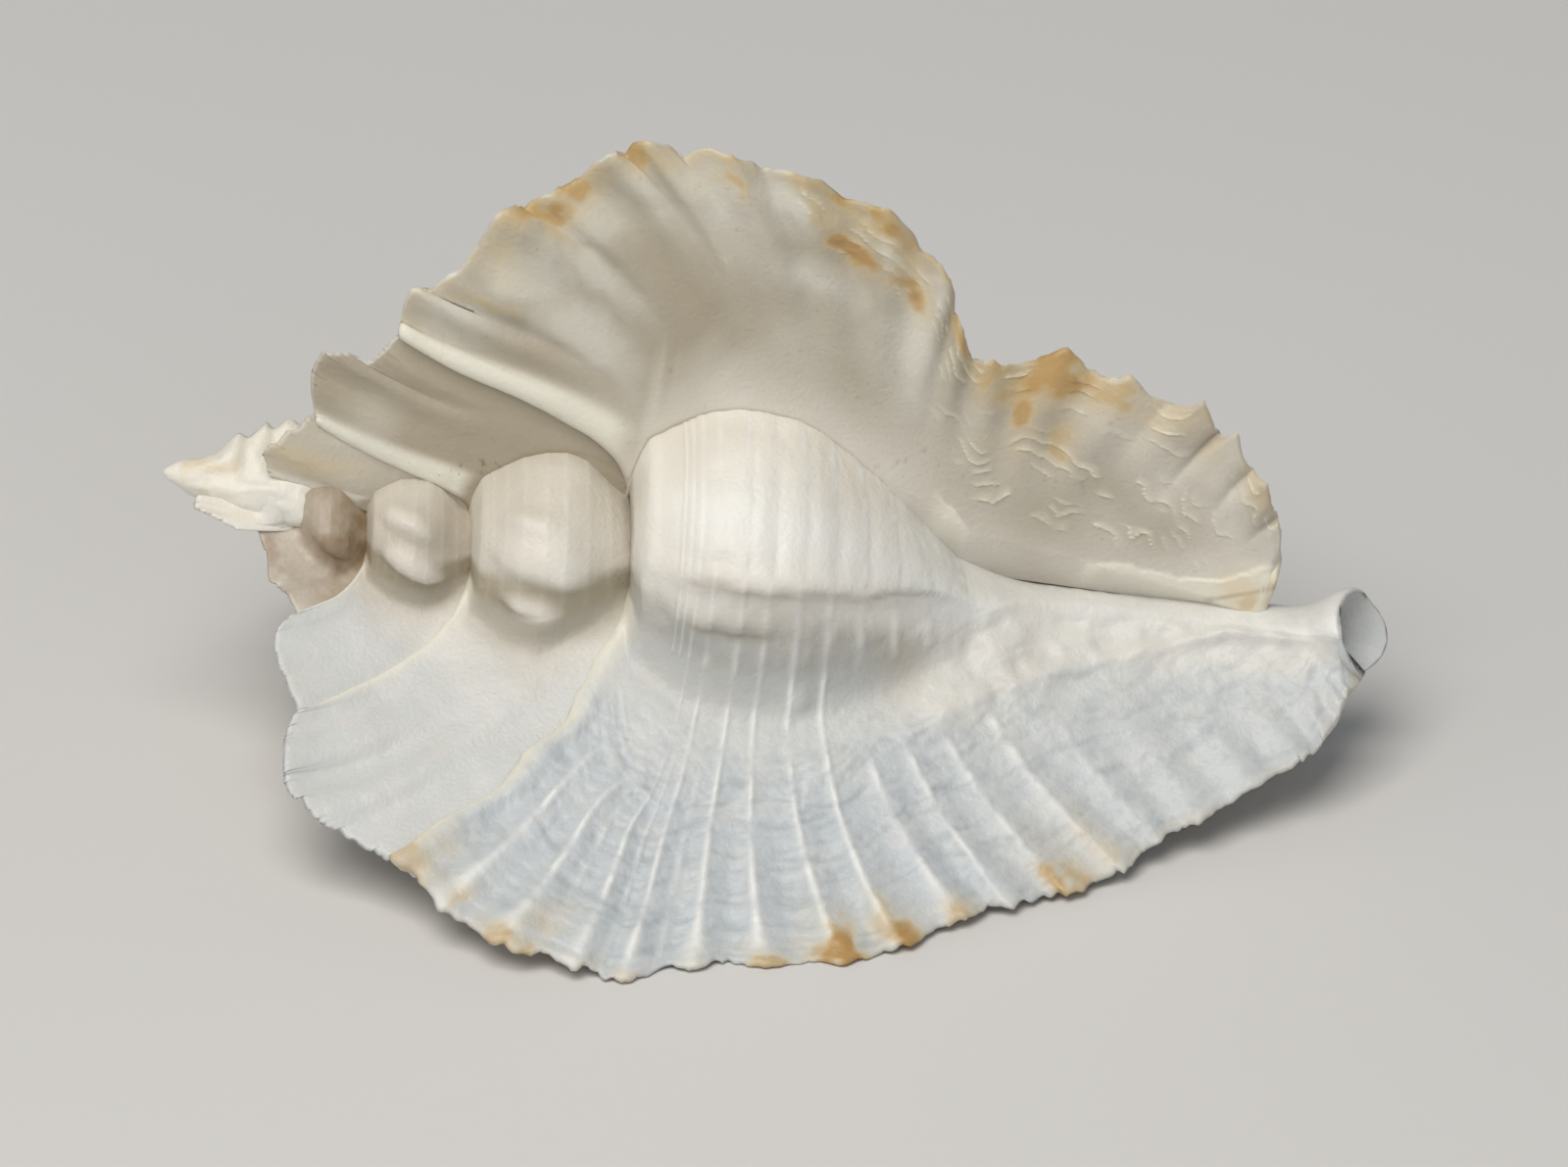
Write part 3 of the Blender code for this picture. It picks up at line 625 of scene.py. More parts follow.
def from_rim(k, row, reach):
    """Millimetres from a wing's first row, which is where it clasps the older whorl."""
    widening = (4.1, 2.6, 3.0)[k] if k < 3 else 1.0
    return row * detail(k) * (0.7 + widening * reach)


def cord_number(k, row, reach):
    """Which cord a point is level with; on the body the first cords crowd below the shoulder."""
    body = np.interp(row, BODY_CORDS, np.arange(len(BODY_CORDS), dtype=float))
    return body + (row - body) * ramp(0.0, 0.55, reach)


def cord_relief(k, place):
    """Raised spiral cords, and how white their crests are.

    High on the body they are flat plates with a narrow groove after each: a smooth step up and
    down along the share of the gap. Lower down and along the wing's back they become thin sharp
    lines, a hump at each cord, and near the edge they widen and sink.
    """
    row, reach, theta = place["at"]
    body, back, _, _ = place["sides"]
    if k >= 3:
        near = np.abs(row - np.round(row))
        threads = hump(near, 0.0, 0.16) * body * ramp(0.5, 1.5, row)
        return detail(k) * 0.04 * threads, 0.06 * threads
    cord = cord_number(k, row, reach)
    fade = ramp(0.35, 0.9, cord) * (1 - ramp(11.4, 13.9, row)) * (body + back)
    share = cord - np.floor(cord)
    low = ramp(-52.0, -42.0, theta) * body + back
    plate = ramp(0.0, 0.5, share) * (1 - ramp(0.7, 1.0, share)) + 0.2 * share
    each = 1.0 + 0.35 * noise(line(np.round(cord) * 3.0 + 17.0 * k), 1.3, 31)
    width = 0.085 + 0.10 * ramp(0.8, 1.0, reach) + 0.05 * body
    near = np.abs(cord + 0.06 - np.round(cord + 0.06))
    thread = hump(near, 0.0, width) * each
    second = hump(near, 0.5, 0.07) * ramp(0.15, 0.4, reach)
    second = second * between(cord, 1.4, 1.8, 4.6, 5.4)
    height = 0.05 + 0.08 * low + 0.13 * ramp(0.05, 0.35, reach)
    height = height * (1 - 0.4 * ramp(0.88, 1.0, reach))
    first = (1 - ramp(2.6, 3.6, cord)) * back
    fade = fade * (1 - first * (1 - ramp(0.3, 0.62, reach)))
    later = ramp(8.0, 9.0, cord) * back
    fade = fade * (1 - later * (1 - 0.65 * ramp(0.28, 0.4, reach)))
    down = reach * 26.0 + (theta / 4.5) * body
    broken = 0.7 + 0.75 * noise(vectors(down, np.round(cord), cord * 0.4), 1.6, 32)
    lift = 0.06 * plate * (1 - low) + height * broken * (thread + 0.4 * second)
    pale = np.where(body > 0, 0.55 - 0.05 * low, 0.3 + 0.6 * low)
    return fade * lift, fade * (thread + 0.35 * second) * broken * pale


def growth_relief(k, place, points):
    """Wrinkles drawn out along the edge, growth halts, and lumps where the shell is rough.

    Wrinkles are noise on (distance to the edge, row), so that they run along the edge. A halt is
    a step down across its reach that dies away outwards.
    """
    row, reach, theta = place["at"]
    body, back, face, _ = place["sides"]
    behind = body + back
    size = detail(k)
    on_wing = ramp(0.05, 0.3, reach)
    laid = vectors(place["to_edge"], row * 0.85, 9.0 * k)
    wrinkle = noises(laid, (1.0, 0.75, 12), (0.6, 0.4, 13))
    grain = noise(points, 0.5, 14)
    rim_gap = from_rim(k, row, reach)
    band = hump(rim_gap, 0.8 * size, 0.65 * size) * on_wing
    band = size * band * (0.38 * face + (0.16 if k == 0 else 0.08) * behind)
    if k >= 3:
        coarse = noises(points, (0.10, 3.0, 9), (0.05, 1.1, 35))
        return band + size * (0.02 * wrinkle * on_wing * behind + coarse + 0.02 * grain)
    fine = noise(points, 0.36, 33)
    ripple = 0.065 * ramp(0.3, 1.4, row) * wrinkle + 0.035 * fine
    lift = band + behind * (on_wing * ripple + 0.035 * grain)
    under = ramp(-47.0, -40.0, theta) * body
    lift = lift + under * noises(points, (0.07, 1.0, 50), (0.05, 0.45, 51))
    # Painted shade in the hollows between the wrinkles.
    place["painted_hollow_shade"] = behind * on_wing * unit(-0.9 * wrinkle - 0.5 * fine)
    for at, first, last, height in HALTS.get(k, ()):
        window = between(row, first - 0.6, first + 0.2, last - 0.3, last + 0.5)
        past = reach - at - noises(points, (0.045, 3.4, 15), (0.015, 1.1, 34))
        step = ramp(-0.008, 0.012, past) * np.exp(-unit(past) / 0.16)
        lift = lift - behind * height * window * step
    if k == 0:
        crest = np.interp(row, CANAL_RIDGE_ROWS, CANAL_RIDGE_REACH)
        lump = 0.65 + 0.6 * noise(points, 1.7, 16)
        ridge = hump(reach, crest + 0.02 * noise(points, 2.2, 17), 0.05)
        ridge = 0.5 * ridge * lump * between(row, 7.5, 9.0, 16.0, 17.5)
        rough = ramp(0.01, 0.07, reach) * between(row, 10.0, 12.0, 16.5, 18.0)
        rough = 0.28 * rough * hump(reach, 0.0, 0.35)
        knobs = hump(row, 7.65, 0.6) * hump(reach, 0.29, 0.06)
        knobs = knobs + 0.7 * hump(row, 7.25, 0.35) * hump(reach, 0.06, 0.03)
        uneven = noises(points, (1.0, 1.5, 18), (0.5, 0.8, 19))
        lift = lift + behind * (ridge + 0.45 * knobs + rough * uneven)
    if k == 1:
        ragged = 1.35 + noises(points, (0.3, 1.6, 40), (0.15, 0.6, 41))
        ragged = ragged + 0.75 * (1 - ramp(15.0, 17.0, row))
        fold = ramp(11.0, 11.6, row) * (1 - ramp(-0.1, 0.12, place["away"] - ragged))
        place["fold"] = face * fold
        lift = lift + 0.16 * place["fold"]
    return lift + face * 0.04 * on_wing * noise(laid, 1.4, 20)


def lip_lines(k, place, points):
    """Thin scalloped edges of old growth on the upper wing's face, broken off in places.

    The distance to the edge, with a scallop between cords and some noise, is cut at every whole
    number: the sheet rises slowly up to the cut and drops there.
    """
    row, reach, _ = place["at"]
    if k != 1:
        return np.zeros(row.shape)
    near = 2.0 * np.abs(1.4 * row - np.round(1.4 * row))
    level = place["to_edge"] / 1.2 - 0.4 * near ** 2
    level = level + noises(points, (1.0, 2.2, 22), (0.35, 0.9, 52))
    share = level - np.floor(level)
    thin = 0.35 * ramp(0.3, 0.9, share) + 0.65 * ramp(0.84, 0.95, share)
    thin = thin * (1 - ramp(0.95, 1.0, share))
    kept = ramp(-0.1, 0.2, noise(points, 1.3, 23))
    middle = between(row, 10.2, 11.5, 16.6, 17.6) * between(reach, 0.1, 0.2, 0.5, 0.65)
    outer = ramp(8.0, 9.0, row) * between(reach, 0.68, 0.78, 0.93, 0.98)
    few = 0.8 * between(row, 5.5, 6.5, 10.5, 11.0) * ramp(0.35, 0.5, noise(points, 2.4, 24))
    few = few * ramp(0.5, 0.6, reach)
    return place["sides"][2] * thin * kept * np.maximum(np.maximum(middle, outer), few)


def spots(place, points, table, ragged=0.7):
    """The strongest of the listed spots at each point, as exp(-d^1.6) of the distance d.

    Noise moves the points and varies the strength, so that the outlines are ragged.
    """
    row, reach, _ = place["at"]
    _, back, face, _ = place["sides"]
    total = np.zeros(row.shape)
    uneven = 1.25 * (1.0 + ragged * noises(points, (1.0, 1.6, 25), (0.6, 0.6, 26)))
    row = row + 0.22 * noise(points, 1.3, 47)
    reach = reach + noises(points, (0.022, 1.3, 48), (0.01, 0.5, 49))
    for at_row, at_reach, rows_wide, reach_wide, strength in table:
        far = ((row - at_row) / rows_wide) ** 2 + ((reach - at_reach) / (1.5 * reach_wide)) ** 2
        total = np.maximum(total, strength * unit(uneven * np.exp(-far ** 0.8)))
    return total * (back + face)


def surface(k, grid, place):
    """The chunk in the shell's coordinates, with its relief raised along the normals."""
    points = to_shell(k, grid)
    normal = ring_normals(points)
    normal = normal * (1.0 if np.sum(points * normal) > 0 else -1.0)
    raised, crest = cord_relief(k, place)
    row, _, theta = place["at"]
    lines = lip_lines(k, place, points)
    lift = raised + growth_relief(k, place, points) + 0.12 * lines
    if k == 0:
        # Painted highlight: a pale band round the upper body, where the key light falls, laid into
        # the crests.
        painted_highlight = hump(theta, -68.0, 15.0) * ramp(2.0, 4.0, row)
        crest = np.maximum(crest, 0.6 * painted_highlight * place["sides"][0])
    place["crest"], place["lines"] = crest, lines
    lift = np.maximum(lift * rim(k, row), -0.55 * place["half"])
    return points + normal * lift[..., None]


def tints(k, place, points):
    """What the material reads at each point, 0 to 1: stains, clear patches, specks, and painted
    shade and highlight.

    Each is a share made of smooth steps and humps along the row, the reach and the way round,
    varied by noise. Where two things give the same tint, the stronger counts.
    """
    row, reach, theta = place["at"]
    body, back, face, inside = place["sides"]
    behind = body + back
    lumps = noise(points, 3.0, 27)
    clear = spots(place, points, [patch + (1.0,) for patch in CLEAR] if k == 1 else (), 0.25)
    pale = 0.42 * clear
    far_out = reach + 0.1 * lumps
    if k == 0:
        # The lower body: partly its own bluish tone and partly painted shade where it turns away
        # from the key light.
        below = ramp(-52.0, -24.0, theta + 6.0 * lumps)
        canal = ramp(8.5, 11.5, row)
        wing = (1 - canal) * (0.65 + 0.35 * ramp(0.12, 0.45, reach + 0.08 * lumps))
        wing = wing + 0.85 * canal * ramp(0.02, 0.5, far_out)
        clear = back * wing + body * 0.5 * (1 - canal) * below
        clear = np.maximum(clear, canal * np.maximum(0.38 * behind, 0.8 * inside))
    elif k == 1:
        clear = 0.30 * clear
    elif k in (3, 6):
        clear = back * (0.2 + 0.45 * ramp(0.1, 0.5, far_out))

    gap = from_rim(k, row, reach) / detail(k)
    seam = face * hump(gap, 0.6, 0.75, 4) * ramp(0.1, 0.3, reach)
    seam = np.maximum(seam * (0.35 if k == TWISTED_WING else 1.0),
                      0.9 * behind * hump(gap, 0.0, 0.6) * (reach > 0))
    seam = np.maximum(np.maximum(seam, pale), 0.8 * place.get("fold", 0.0))

    # Painted shade: the wings' fronts face down, away from the key light, so their colour is
    # darkened; on the upper wing in streaks, more at its first rows and less near the body and at
    # its far rows.
    shade = face * (0.75 + 0.3 * noise(points, 3.5, 28))
    if k == 1:
        streaks = noise(vectors(row * 1.9, reach * 4.0, 3.0 * k), 1.5, 42)
        streaks = 0.1 + 0.45 * streaks * ramp(0.3, 0.8, reach)
        top = 0.30 * (1 - ramp(2.0, 6.0, row)) - 0.14 * ramp(9.0, 12.0, row)
        shade = 1.05 * (shade + face * streaks) + face * top
        shade = shade * (1 - 0.8 * hump(place["away"], 0.0, 3.4))
    else:
        shade = shade * (1.4 if k == 4 else 0.9) * (k < 9)
    # The older whorls' bodies are browner and darker by their own tone, and on chunk 9 also by
    # painted shadow under the wings above.
    foot = body + back * (1 - ramp(0.05, 0.4, reach))
    body_shade = foot * {3: 0.42, 6: 0.6, 9: 0.8}.get(k, 0.0) * (0.8 + 0.3 * lumps)
    if k in (0, 3, 6):
        # Painted shade in the concave flare where the body turns into the wing, and a painted
        # highlight that keeps the knobs' tops light.
        flare = body * ramp(-44.0, -30.0, theta) + back * (1 - ramp(0.02, 0.2, reach))
        flare = flare * (1 - ramp(9.5, 12.5, row))
        knob = body * ramp(0.3, 1.15, swelling(k, row, theta) / (0.75 * detail(k) + 0.2))
        body_shade = (body_shade + (0.8 if k == 0 else 0.75) * flare) * (1 - 0.9 * knob * (k > 0))
    # Painted shade at the foot of the older wings' fronts.
    inner = face * (1 - ramp(0.2, 0.55, reach)) * {6: 1.0, 7: 0.55, 8: 1.0}.get(k, 0.0)
    shade = np.maximum(np.maximum(shade, body_shade), inner)

    speck = ramp(0.66, 0.78, noise(points, 0.26, 29))
    speck = speck * ramp(0.3, 0.6, noise(points, 2.5, 30)) * (1.0 if k == 4 else 0.35)
    # Painted shade in the creases where a wing's front meets the body and along the sutures; the
    # specks are the shell's own.
    dirt_and_painted_shade = np.maximum(place["crease"] * (0.5 + 0.25 * lumps) * (1.0 if k < 3 else 0.6),
                      face * speck * (k < 6) * 0.8)
    # Brown colour and painted shadow at the foot of the oldest wings and bodies.
    brown_and_painted_shadow = {9: 1.3, 6: 0.30, 7: 0.45}.get(k, 0.0) * unit(0.8 + 0.5 * lumps)
    brown_and_painted_shadow = brown_and_painted_shadow * (1 - (0.35 if k == 9 else 0.95) * ramp(0.1, 0.6, reach))
    dirt_and_painted_shade = np.maximum(dirt_and_painted_shade, brown_and_painted_shadow * (face if k == TWISTED_WING else behind))
    if k == 0:
        # Painted shadow: thin dark lines under the last whorl's two body ridges.
        around = theta + 1.5 * lumps
        ridge = np.interp(row, RIDGE_ROWS, RIDGE_TURN) + 3.5
        under = hump(around, ridge, 1.4) * between(row, 3.2, 3.8, 10.5, 12.0)
        lower = hump(around, -31.0, 1.6) * between(row, 3.2, 3.8, 5.5, 6.5)
        dirt_and_painted_shade = np.maximum(dirt_and_painted_shade, 0.45 * body * np.maximum(under, lower))

    stain = spots(place, points, STAINS.get(k, ()))
    if k < 2:
        uneven = unit(0.55 + noises(points, (0.9, 2.2, 43), (0.4, 0.8, 44)))
        edge = ramp(0.93, 1.0, reach) * ramp(0.5, 1.5, row)
        edge = edge * (0.45 * face if k == 1 else 0.22 * behind)
        stain = np.maximum(stain, edge * uneven)
    return {"stain": stain, "clear": clear, "seam": seam, "shade": shade,
            "painted_hollow_shade": place.get("painted_hollow_shade", np.zeros(row.shape)), "dirt_and_painted_shade": unit(dirt_and_painted_shade),
            "crest": unit(place["crest"]), "lines": place["lines"]}


def ring_quads(rows, ring):
    """Quads between neighbouring rings of vertices."""
    index = np.arange(rows * ring).reshape(rows, ring)
    right = np.roll(index, -1, axis=1)
    return np.stack([index[:-1], index[1:], right[1:], right[:-1]], axis=-1).reshape(-1, 4)


def end_caps(rows, counts):
    """Triangles that close the first and the last ring: each outer point to one opposite."""
    arc, wing, face, inside = counts
    ring = sum(counts)
    outer = np.arange(arc + wing)
    to_face = ring - 1 - np.round(outer[:arc] * (inside - 1) / (arc - 1)).astype(int)
    to_wing = arc + wing + np.round((wing - 1 - np.arange(wing)) * face / wing).astype(int)
    partner = np.concatenate([to_face, np.minimum(to_wing, ring - inside)])
    caps = []
    for row, flip in ((0, False), (rows - 1, True)):
        one = np.stack([outer[:-1], outer[1:], partner[:-1]], axis=-1)
        two = np.stack([outer[1:], partner[1:], partner[:-1]], axis=-1)
        both = np.concatenate([one, two])
        both = both[(both[:, 0] != both[:, 1]) & (both[:, 1] != both[:, 2])
                    & (both[:, 0] != both[:, 2])]
        caps.append((both[:, ::-1] if flip else both) + row * ring)
    return np.concatenate(caps)


def add_object(name, data):
    """A new object in the scene's own collection."""
    made = bpy.data.objects.new(name, data)
    bpy.context.scene.collection.objects.link(made)
    return made


def shell_mesh(name, layers):
    """One mesh object from several closed grids, each (points, quads, triangles, attributes)."""
    points, corners, sizes, values, base = [], [], [], {}, 0
    for grid, quads, triangles, attributes in layers:
        flat = grid.reshape(-1, 3)
        mid = flat.mean(axis=0)
        volume = 0.0
        for faces in (quads[:, [0, 1, 2]], quads[:, [0, 2, 3]], triangles):
            one, two, three = (flat[faces[:, n]] - mid for n in range(3))
            volume += np.einsum("ij,ij->", one, np.cross(two, three))
        if volume < 0:
            quads, triangles = quads[:, ::-1], triangles[:, ::-1]
        points.append(flat)
        corners += [(quads + base).ravel(), (triangles + base).ravel()]
        sizes += [np.full(len(quads), 4), np.full(len(triangles), 3)]
        for key, value in attributes.items():
            values.setdefault(key, []).append(np.asarray(value, float).ravel())
        base += len(flat)
    points, corners, sizes = (np.concatenate(v) for v in (points, corners, sizes))
    mesh = bpy.data.meshes.new(name)
    mesh.vertices.add(len(points))
    mesh.vertices.foreach_set("co", lie_down(points).ravel())
    mesh.loops.add(len(corners))
    mesh.loops.foreach_set("vertex_index", corners.astype(np.int32))
    mesh.polygons.add(len(sizes))
    mesh.polygons.foreach_set("loop_start", (np.cumsum(sizes) - sizes).astype(np.int32))
    mesh.update(calc_edges=True)
    mesh.validate()
    for key, value in values.items():
        layer = mesh.attributes.new(key, "FLOAT", "POINT")
        layer.data.foreach_set("value", np.concatenate(value).astype(np.float32))
    mesh.shade_smooth()
    return add_object(name, mesh)


def lie_down(points):
    """Shell millimetres to the frame's metres: turned and tipped as it lies, apex at its place.

    Where the wings touch the table they are worn flat: z becomes s ln(1 + exp(z / s)).
    """
    lying = points @ np.array(LYING).T + np.array(TIP_AT)
    lying[..., 2] = WORN * np.logaddexp(0.0, lying[..., 2] / WORN)
    return lying * MM


def chunk_layer(k, count, arc_count, wing_count, face_count, inner_arc):
    """One chunk ready for a mesh: its points, faces and tints."""
    rows = rows_for(k, count)
    grid, place = chunk_grid(k, rows, arc_count, wing_count, face_count, inner_arc)
    points = surface(k, grid, place)
    quads = ring_quads(len(rows), sum(place["counts"]))
    return points, quads, end_caps(len(rows), place["counts"]), tints(k, place, points)


def apex_layer(sides=96, steps=150):
    """The first whorls' tip: one flattened cone through the stations of the table.

    The section is r = ((cos t / h)^p + (sin t / d)^p)^(-1/p). h is the height above where cos t
    is above 0 and the height below elsewhere, d is the half depth, and p falls from 2 to 1.15
    where the cone thins to a fin. Low ridges run out from the tip, and noise makes it lumpy.
    """
    profile = smooth_rows(APEX, np.linspace(0, len(APEX) - 1, steps))
    turn = np.linspace(0.0, 2 * math.pi, sides, endpoint=False)[None, :]
    a = profile[:, :1] + 0.0 * turn
    above, below, deep = (np.maximum(profile[:, n:n + 1], 0.02) for n in (1, 2, 3))
    step = (a / 1.55) % 1.0
    step = (ramp(0.0, 0.8, step) - step) * ramp(1.2, 2.4, a)
    above = above * (1.0 + 0.4 * step)
    high = below + (above - below) * ramp(-0.15, 0.15, np.cos(turn))
    power = 2.0 - 0.85 * ramp(2.5, 5.0, a) * ramp(0.0, 0.5, np.cos(turn))
    r = (np.abs(np.cos(turn)) / high) ** power + (np.abs(np.sin(turn)) / deep) ** power
    ridge = np.abs(np.cos(2.5 * turn + 0.5 * a)) ** 4 * ramp(0.8, 2.5, a)
    r = r ** (-1.0 / power) * (0.96 + 0.10 * ridge)
    up, side = np.array(APEX_UP), np.array((-APEX_UP[1], APEX_UP[0]))
    cross = r[..., None] * (np.cos(turn)[..., None] * up + np.sin(turn)[..., None] * side)
    points = np.concatenate([a[..., None], cross], axis=-1)
    stretch = 1.0 + noises(points, (0.07, 1.3, 36), (0.03, 0.5, 45))
    cloudy = ramp(0.5, 0.9, noise(points, 1.6, 46) + 0.5 * hump(a, 4.2, 0.7))
    points[..., 1:] *= stretch[..., None]
    fan = np.stack([np.zeros(sides - 2, int), np.arange(1, sides - 1), np.arange(2, sides)], -1)
    caps = np.concatenate([fan, fan[:, ::-1] + (steps - 1) * sides])
    values = {n: np.zeros(a.shape) for n in TINTS}
    values["stain"] = 0.45 * cloudy
    values["seam"] = np.full(a.shape, 0.5)
    return bend(points), ring_quads(steps, sides), caps, values


def linear(hex_colour):
    """An sRGB hex colour as linear red, green, blue and alpha."""
    parts = [int(hex_colour[i:i + 2], 16) / 255 for i in (1, 3, 5)]
    return [c / 12.92 if c <= 0.04045 else ((c + 0.055) / 1.055) ** 2.4 for c in parts] + [1.0]


def add_node(tree, kind, settings=None, inputs=None, links=None):
    """Adds a node, sets its properties and its inputs' values, and links sources to inputs."""
    made = tree.nodes.new(kind)
    for key, value in (settings or {}).items():
        setattr(made, key, value)
    for key, value in (inputs or {}).items():
        made.inputs[key].default_value = value
    for key, source in (links or {}).items():
        tree.links.new(source, made.inputs[key])
    return made


TINTS = ("stain", "clear", "painted_hollow_shade", "seam", "shade", "dirt_and_painted_shade", "crest", "lines")

# The shell's colours, each laid over the ones before: (tints multiplied to give its share, the
# noise that clouds it as (scale, from, to) or None, colour). Noise scales are per metre: 170 is
# a cloud of about 6 mm, 900 one of about 1 mm.
BASE_COLOUR = "#E4DED2"
LAYERS = (
    ((), (170.0, 0.35, 0.65), "#F0ECE2"),
    # Painted shade on the wing fronts, flares and creases, and the older whorls' own browner tone.
    (("shade",), None, "#B0A691"),
    (("clear",), (420.0, -0.4, 0.5), "#C9CFD2"),
    # Painted shade in the wrinkles' hollows, bluish where the shell is clear.
    (("painted_hollow_shade", "clear"), (260.0, -0.6, 1.0), "#AFB7BA"),
    # White cord crests, with a painted highlight band on the upper body.
    (("crest",), None, "#F4F5F1"),
    (("seam",), None, "#EFEBDB"),
    (("lines",), None, "#F3ECD6"),
    # Specks and a browner tone, with painted shadow in creases and under ridges.
    (("dirt_and_painted_shade",), (900.0, -0.3, 0.6), "#937C60"),
    (("stain",), (500.0, -0.1, 0.5), "#DDC48C"),
    (("strong",), (400.0, 0.05, 0.5), "#A97A35"),
)


def shell_material():
    """Aragonite of a cleaned sea shell: chalky and slightly translucent, grown layer by layer.

    That gives a soft cream surface that is faintly glossy where it is smooth, bluish where the
    shell is thin and clear, and ochre where the living edge was stained. Painted shade darkens the
    wing fronts, the creases and the wrinkles' hollows, and a painted highlight lightens the upper
    body.
    """
    material = bpy.data.materials.new("aragonite_shell")
    material.use_nodes = True
    tree = material.node_tree
    tree.nodes.clear()
    place = add_node(tree, "ShaderNodeTexCoord").outputs["Object"]
    tint = {n: add_node(tree, "ShaderNodeAttribute", {"attribute_name": n}).outputs["Fac"]
            for n in TINTS}
    tint["strong"] = add_node(tree, "ShaderNodeMapRange",
                              inputs={"From Min": 0.4, "From Max": 1.25},
                              links={"Value": tint["stain"]}).outputs["Result"]
    colour = None
    for names, cloud, hex_colour in LAYERS:
        shares = [tint[n] for n in names]
        if cloud:
            scale, low, high = cloud
            lumps = add_node(tree, "ShaderNodeTexNoise", inputs={"Scale": scale, "Detail": 2.0},
                             links={"Vector": place}).outputs["Fac"]
            shares.append(add_node(tree, "ShaderNodeMapRange",
                                   inputs={"From Min": low, "From Max": high},
                                   links={"Value": lumps}).outputs["Result"])
        share = shares[0]
        for other in shares[1:]:
            share = add_node(tree, "ShaderNodeMath", {"operation": "MULTIPLY"},
                             links={0: share, 1: other}).outputs[0]
        below = {6: colour} if colour else {}
        colour = add_node(tree, "ShaderNodeMix", {"data_type": "RGBA"},
                          {6: linear(BASE_COLOUR), 7: linear(hex_colour)},
                          {0: share, **below}).outputs[2]

    # Grains of about 0.3 mm and growth pores of about 0.1 mm, drawn no finer than they show.
    grain = add_node(tree, "ShaderNodeTexNoise", inputs={"Scale": 3200.0, "Detail": 3.0},
                     links={"Vector": place}).outputs["Fac"]
    bump = add_node(tree, "ShaderNodeBump", inputs={"Strength": 0.5, "Distance": 0.00012},
                    links={"Height": grain}).outputs["Normal"]
    shader = add_node(tree, "ShaderNodeBsdfPrincipled",
                      inputs={"Roughness": 0.46, "IOR": 1.53, "Subsurface Weight": 0.12,
                              "Subsurface Radius": (0.0016, 0.0011, 0.0008),
                              "Subsurface Scale": 1.0},
                      links={"Base Color": colour, "Normal": bump})
    add_node(tree, "ShaderNodeOutputMaterial", links={"Surface": shader.outputs["BSDF"]})
    return material


# Each piece with its chunks: (chunk, rows, points round the body, on the wing's back, on its
# front, inside).
PIECES = (
    ("last_third_and_lip_wing", ((0, 330, 60, 150, 60, 16),)),
    ("upper_third_and_wing", ((1, 330, 56, 70, 148, 8),)),
    ("far_third_and_wing", ((2, 260, 50, 90, 60, 8),)),
    ("second_whorl_lower_wing", ((3, 220, 70, 80, 50, 8),)),
    ("second_whorl_upper_wing", ((4, 220, 60, 50, 80, 8),)),
    ("second_whorl_far_wing", ((5, 150, 40, 60, 50, 8),)),
    ("third_whorl_wings", ((6, 140, 50, 50, 40, 6), (7, 140, 44, 36, 60, 6),
                           (8, 100, 36, 36, 36, 6))),
    ("first_whorls_wings", ((9, 100, 36, 36, 30, 6), (11, 80, 30, 30, 30, 6),
                            (12, 80, 30, 30, 30, 6))),
)

material = shell_material()
for name, chunks in PIECES:
    layers = [chunk_layer(*chunk) for chunk in chunks]
    if name.startswith("first"):
        layers.append(apex_layer())
    piece = shell_mesh(name, layers)
    piece.data.materials.append(material)
    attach(piece, "root")
    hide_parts("shell")


FLOOR_WIDE = 6.0
LIGHT_DISTANCE = 0.7
LIGHT_AIM = (0.0, 0.0, 0.015)
ROOM_STRENGTH = 0.22
SENSOR_WIDE = 36.0

# The lights: (name, direction as (right, up, towards the camera), width, power, colour).
LIGHTS = (("key", (-0.2, 0.53, 0.80), 0.5, 3.9, "#FFFAF3"),
          ("fill", (0.35, -0.1, 0.9), 0.5, 0.45, "#EAF1FF"),
          ("side", (-0.9, 0.1, 0.5), 0.4, 0.35, "#F4F6FF"))


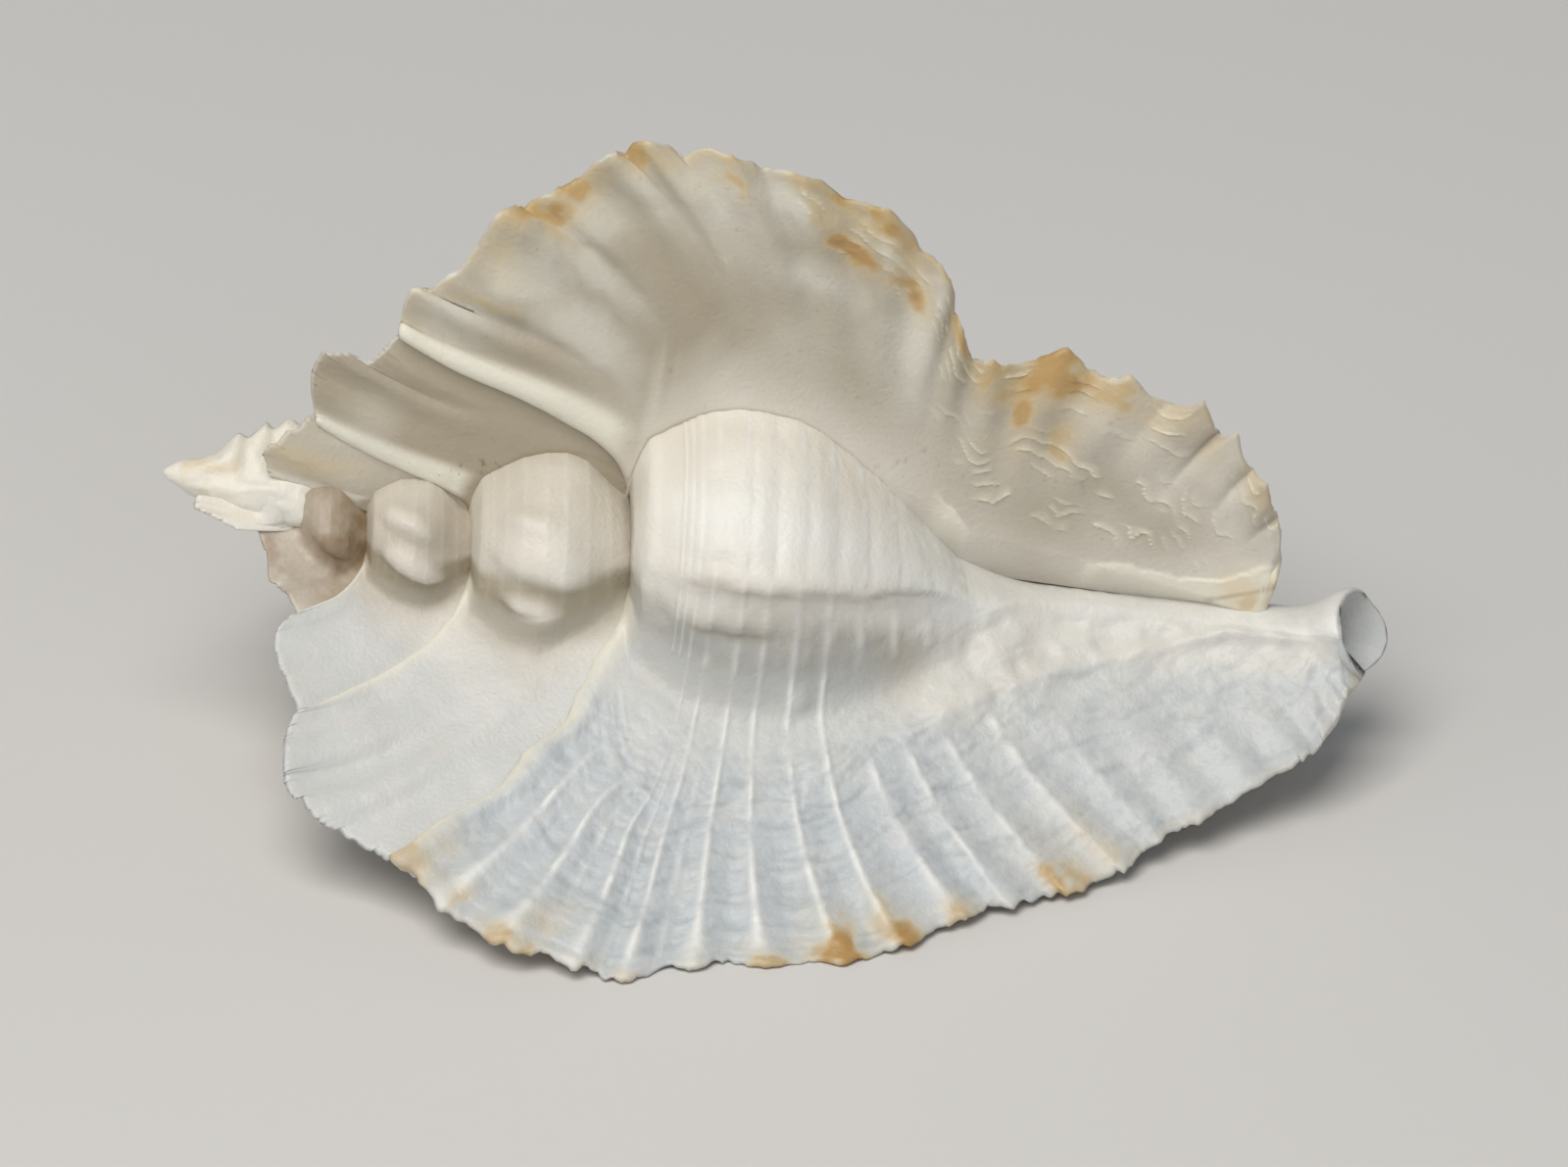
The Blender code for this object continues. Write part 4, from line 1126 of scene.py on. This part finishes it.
def paper_material():
    """Matt, pale grey backdrop paper: pressed fibres that scatter light evenly and don't shine."""
    made = bpy.data.materials.new("pale_paper")
    made.use_nodes = True
    shader = made.node_tree.nodes["Principled BSDF"]
    shader.inputs["Base Color"].default_value = linear("#DEDDDB")
    shader.inputs["Roughness"].default_value = 0.9
    return made


def studio():
    """A pale floor, a large soft light above the camera's top edge, and weak fills."""
    scene = bpy.context.scene
    bpy.ops.mesh.primitive_plane_add(size=FLOOR_WIDE)
    floor = bpy.context.active_object
    floor.name = "floor"
    floor.data.materials.append(paper_material())

    right, up = LYING @ Vector(VIEW_RIGHT), LYING @ Vector(VIEW_UP)
    towards = right.cross(up)
    centre = Vector(VIEW_RIGHT) * VIEW_CENTRE[0] + Vector(VIEW_UP) * VIEW_CENTRE[1]
    centre = LYING @ centre + Vector(TIP_AT)
    data = bpy.data.cameras.new("camera")
    camera = add_object("camera", data)
    data.sensor_fit = "HORIZONTAL"
    data.sensor_width = SENSOR_WIDE
    data.lens = SENSOR_WIDE * VIEW_DISTANCE / (PHOTO_WIDE / PIXELS_PER_MM)
    data.clip_start, data.clip_end = 0.05, 20.0
    camera.matrix_world = (Matrix.Translation((centre + towards * VIEW_DISTANCE) * MM)
                           @ Matrix((right, up, towards)).transposed().to_4x4())
    scene.camera = camera
    scene.view_settings.view_transform = "Standard"

    for name, where, wide, power, tint in LIGHTS:
        light = bpy.data.lights.new(name, "AREA")
        light.size, light.energy, light.color = wide, power, linear(tint)[:3]
        lamp = add_object(name, light)
        way = (right * where[0] + up * where[1] + towards * where[2]).normalized()
        lamp.location = Vector(LIGHT_AIM) + way * LIGHT_DISTANCE
        lamp.rotation_mode = "QUATERNION"
        lamp.rotation_quaternion = way.to_track_quat("Z", "Y")

    world = bpy.data.worlds.new("room")
    world.use_nodes = True
    sky = world.node_tree.nodes["Background"]
    sky.inputs["Color"].default_value = linear("#DDE3EA")
    sky.inputs["Strength"].default_value = ROOM_STRENGTH
    scene.world = world


studio()
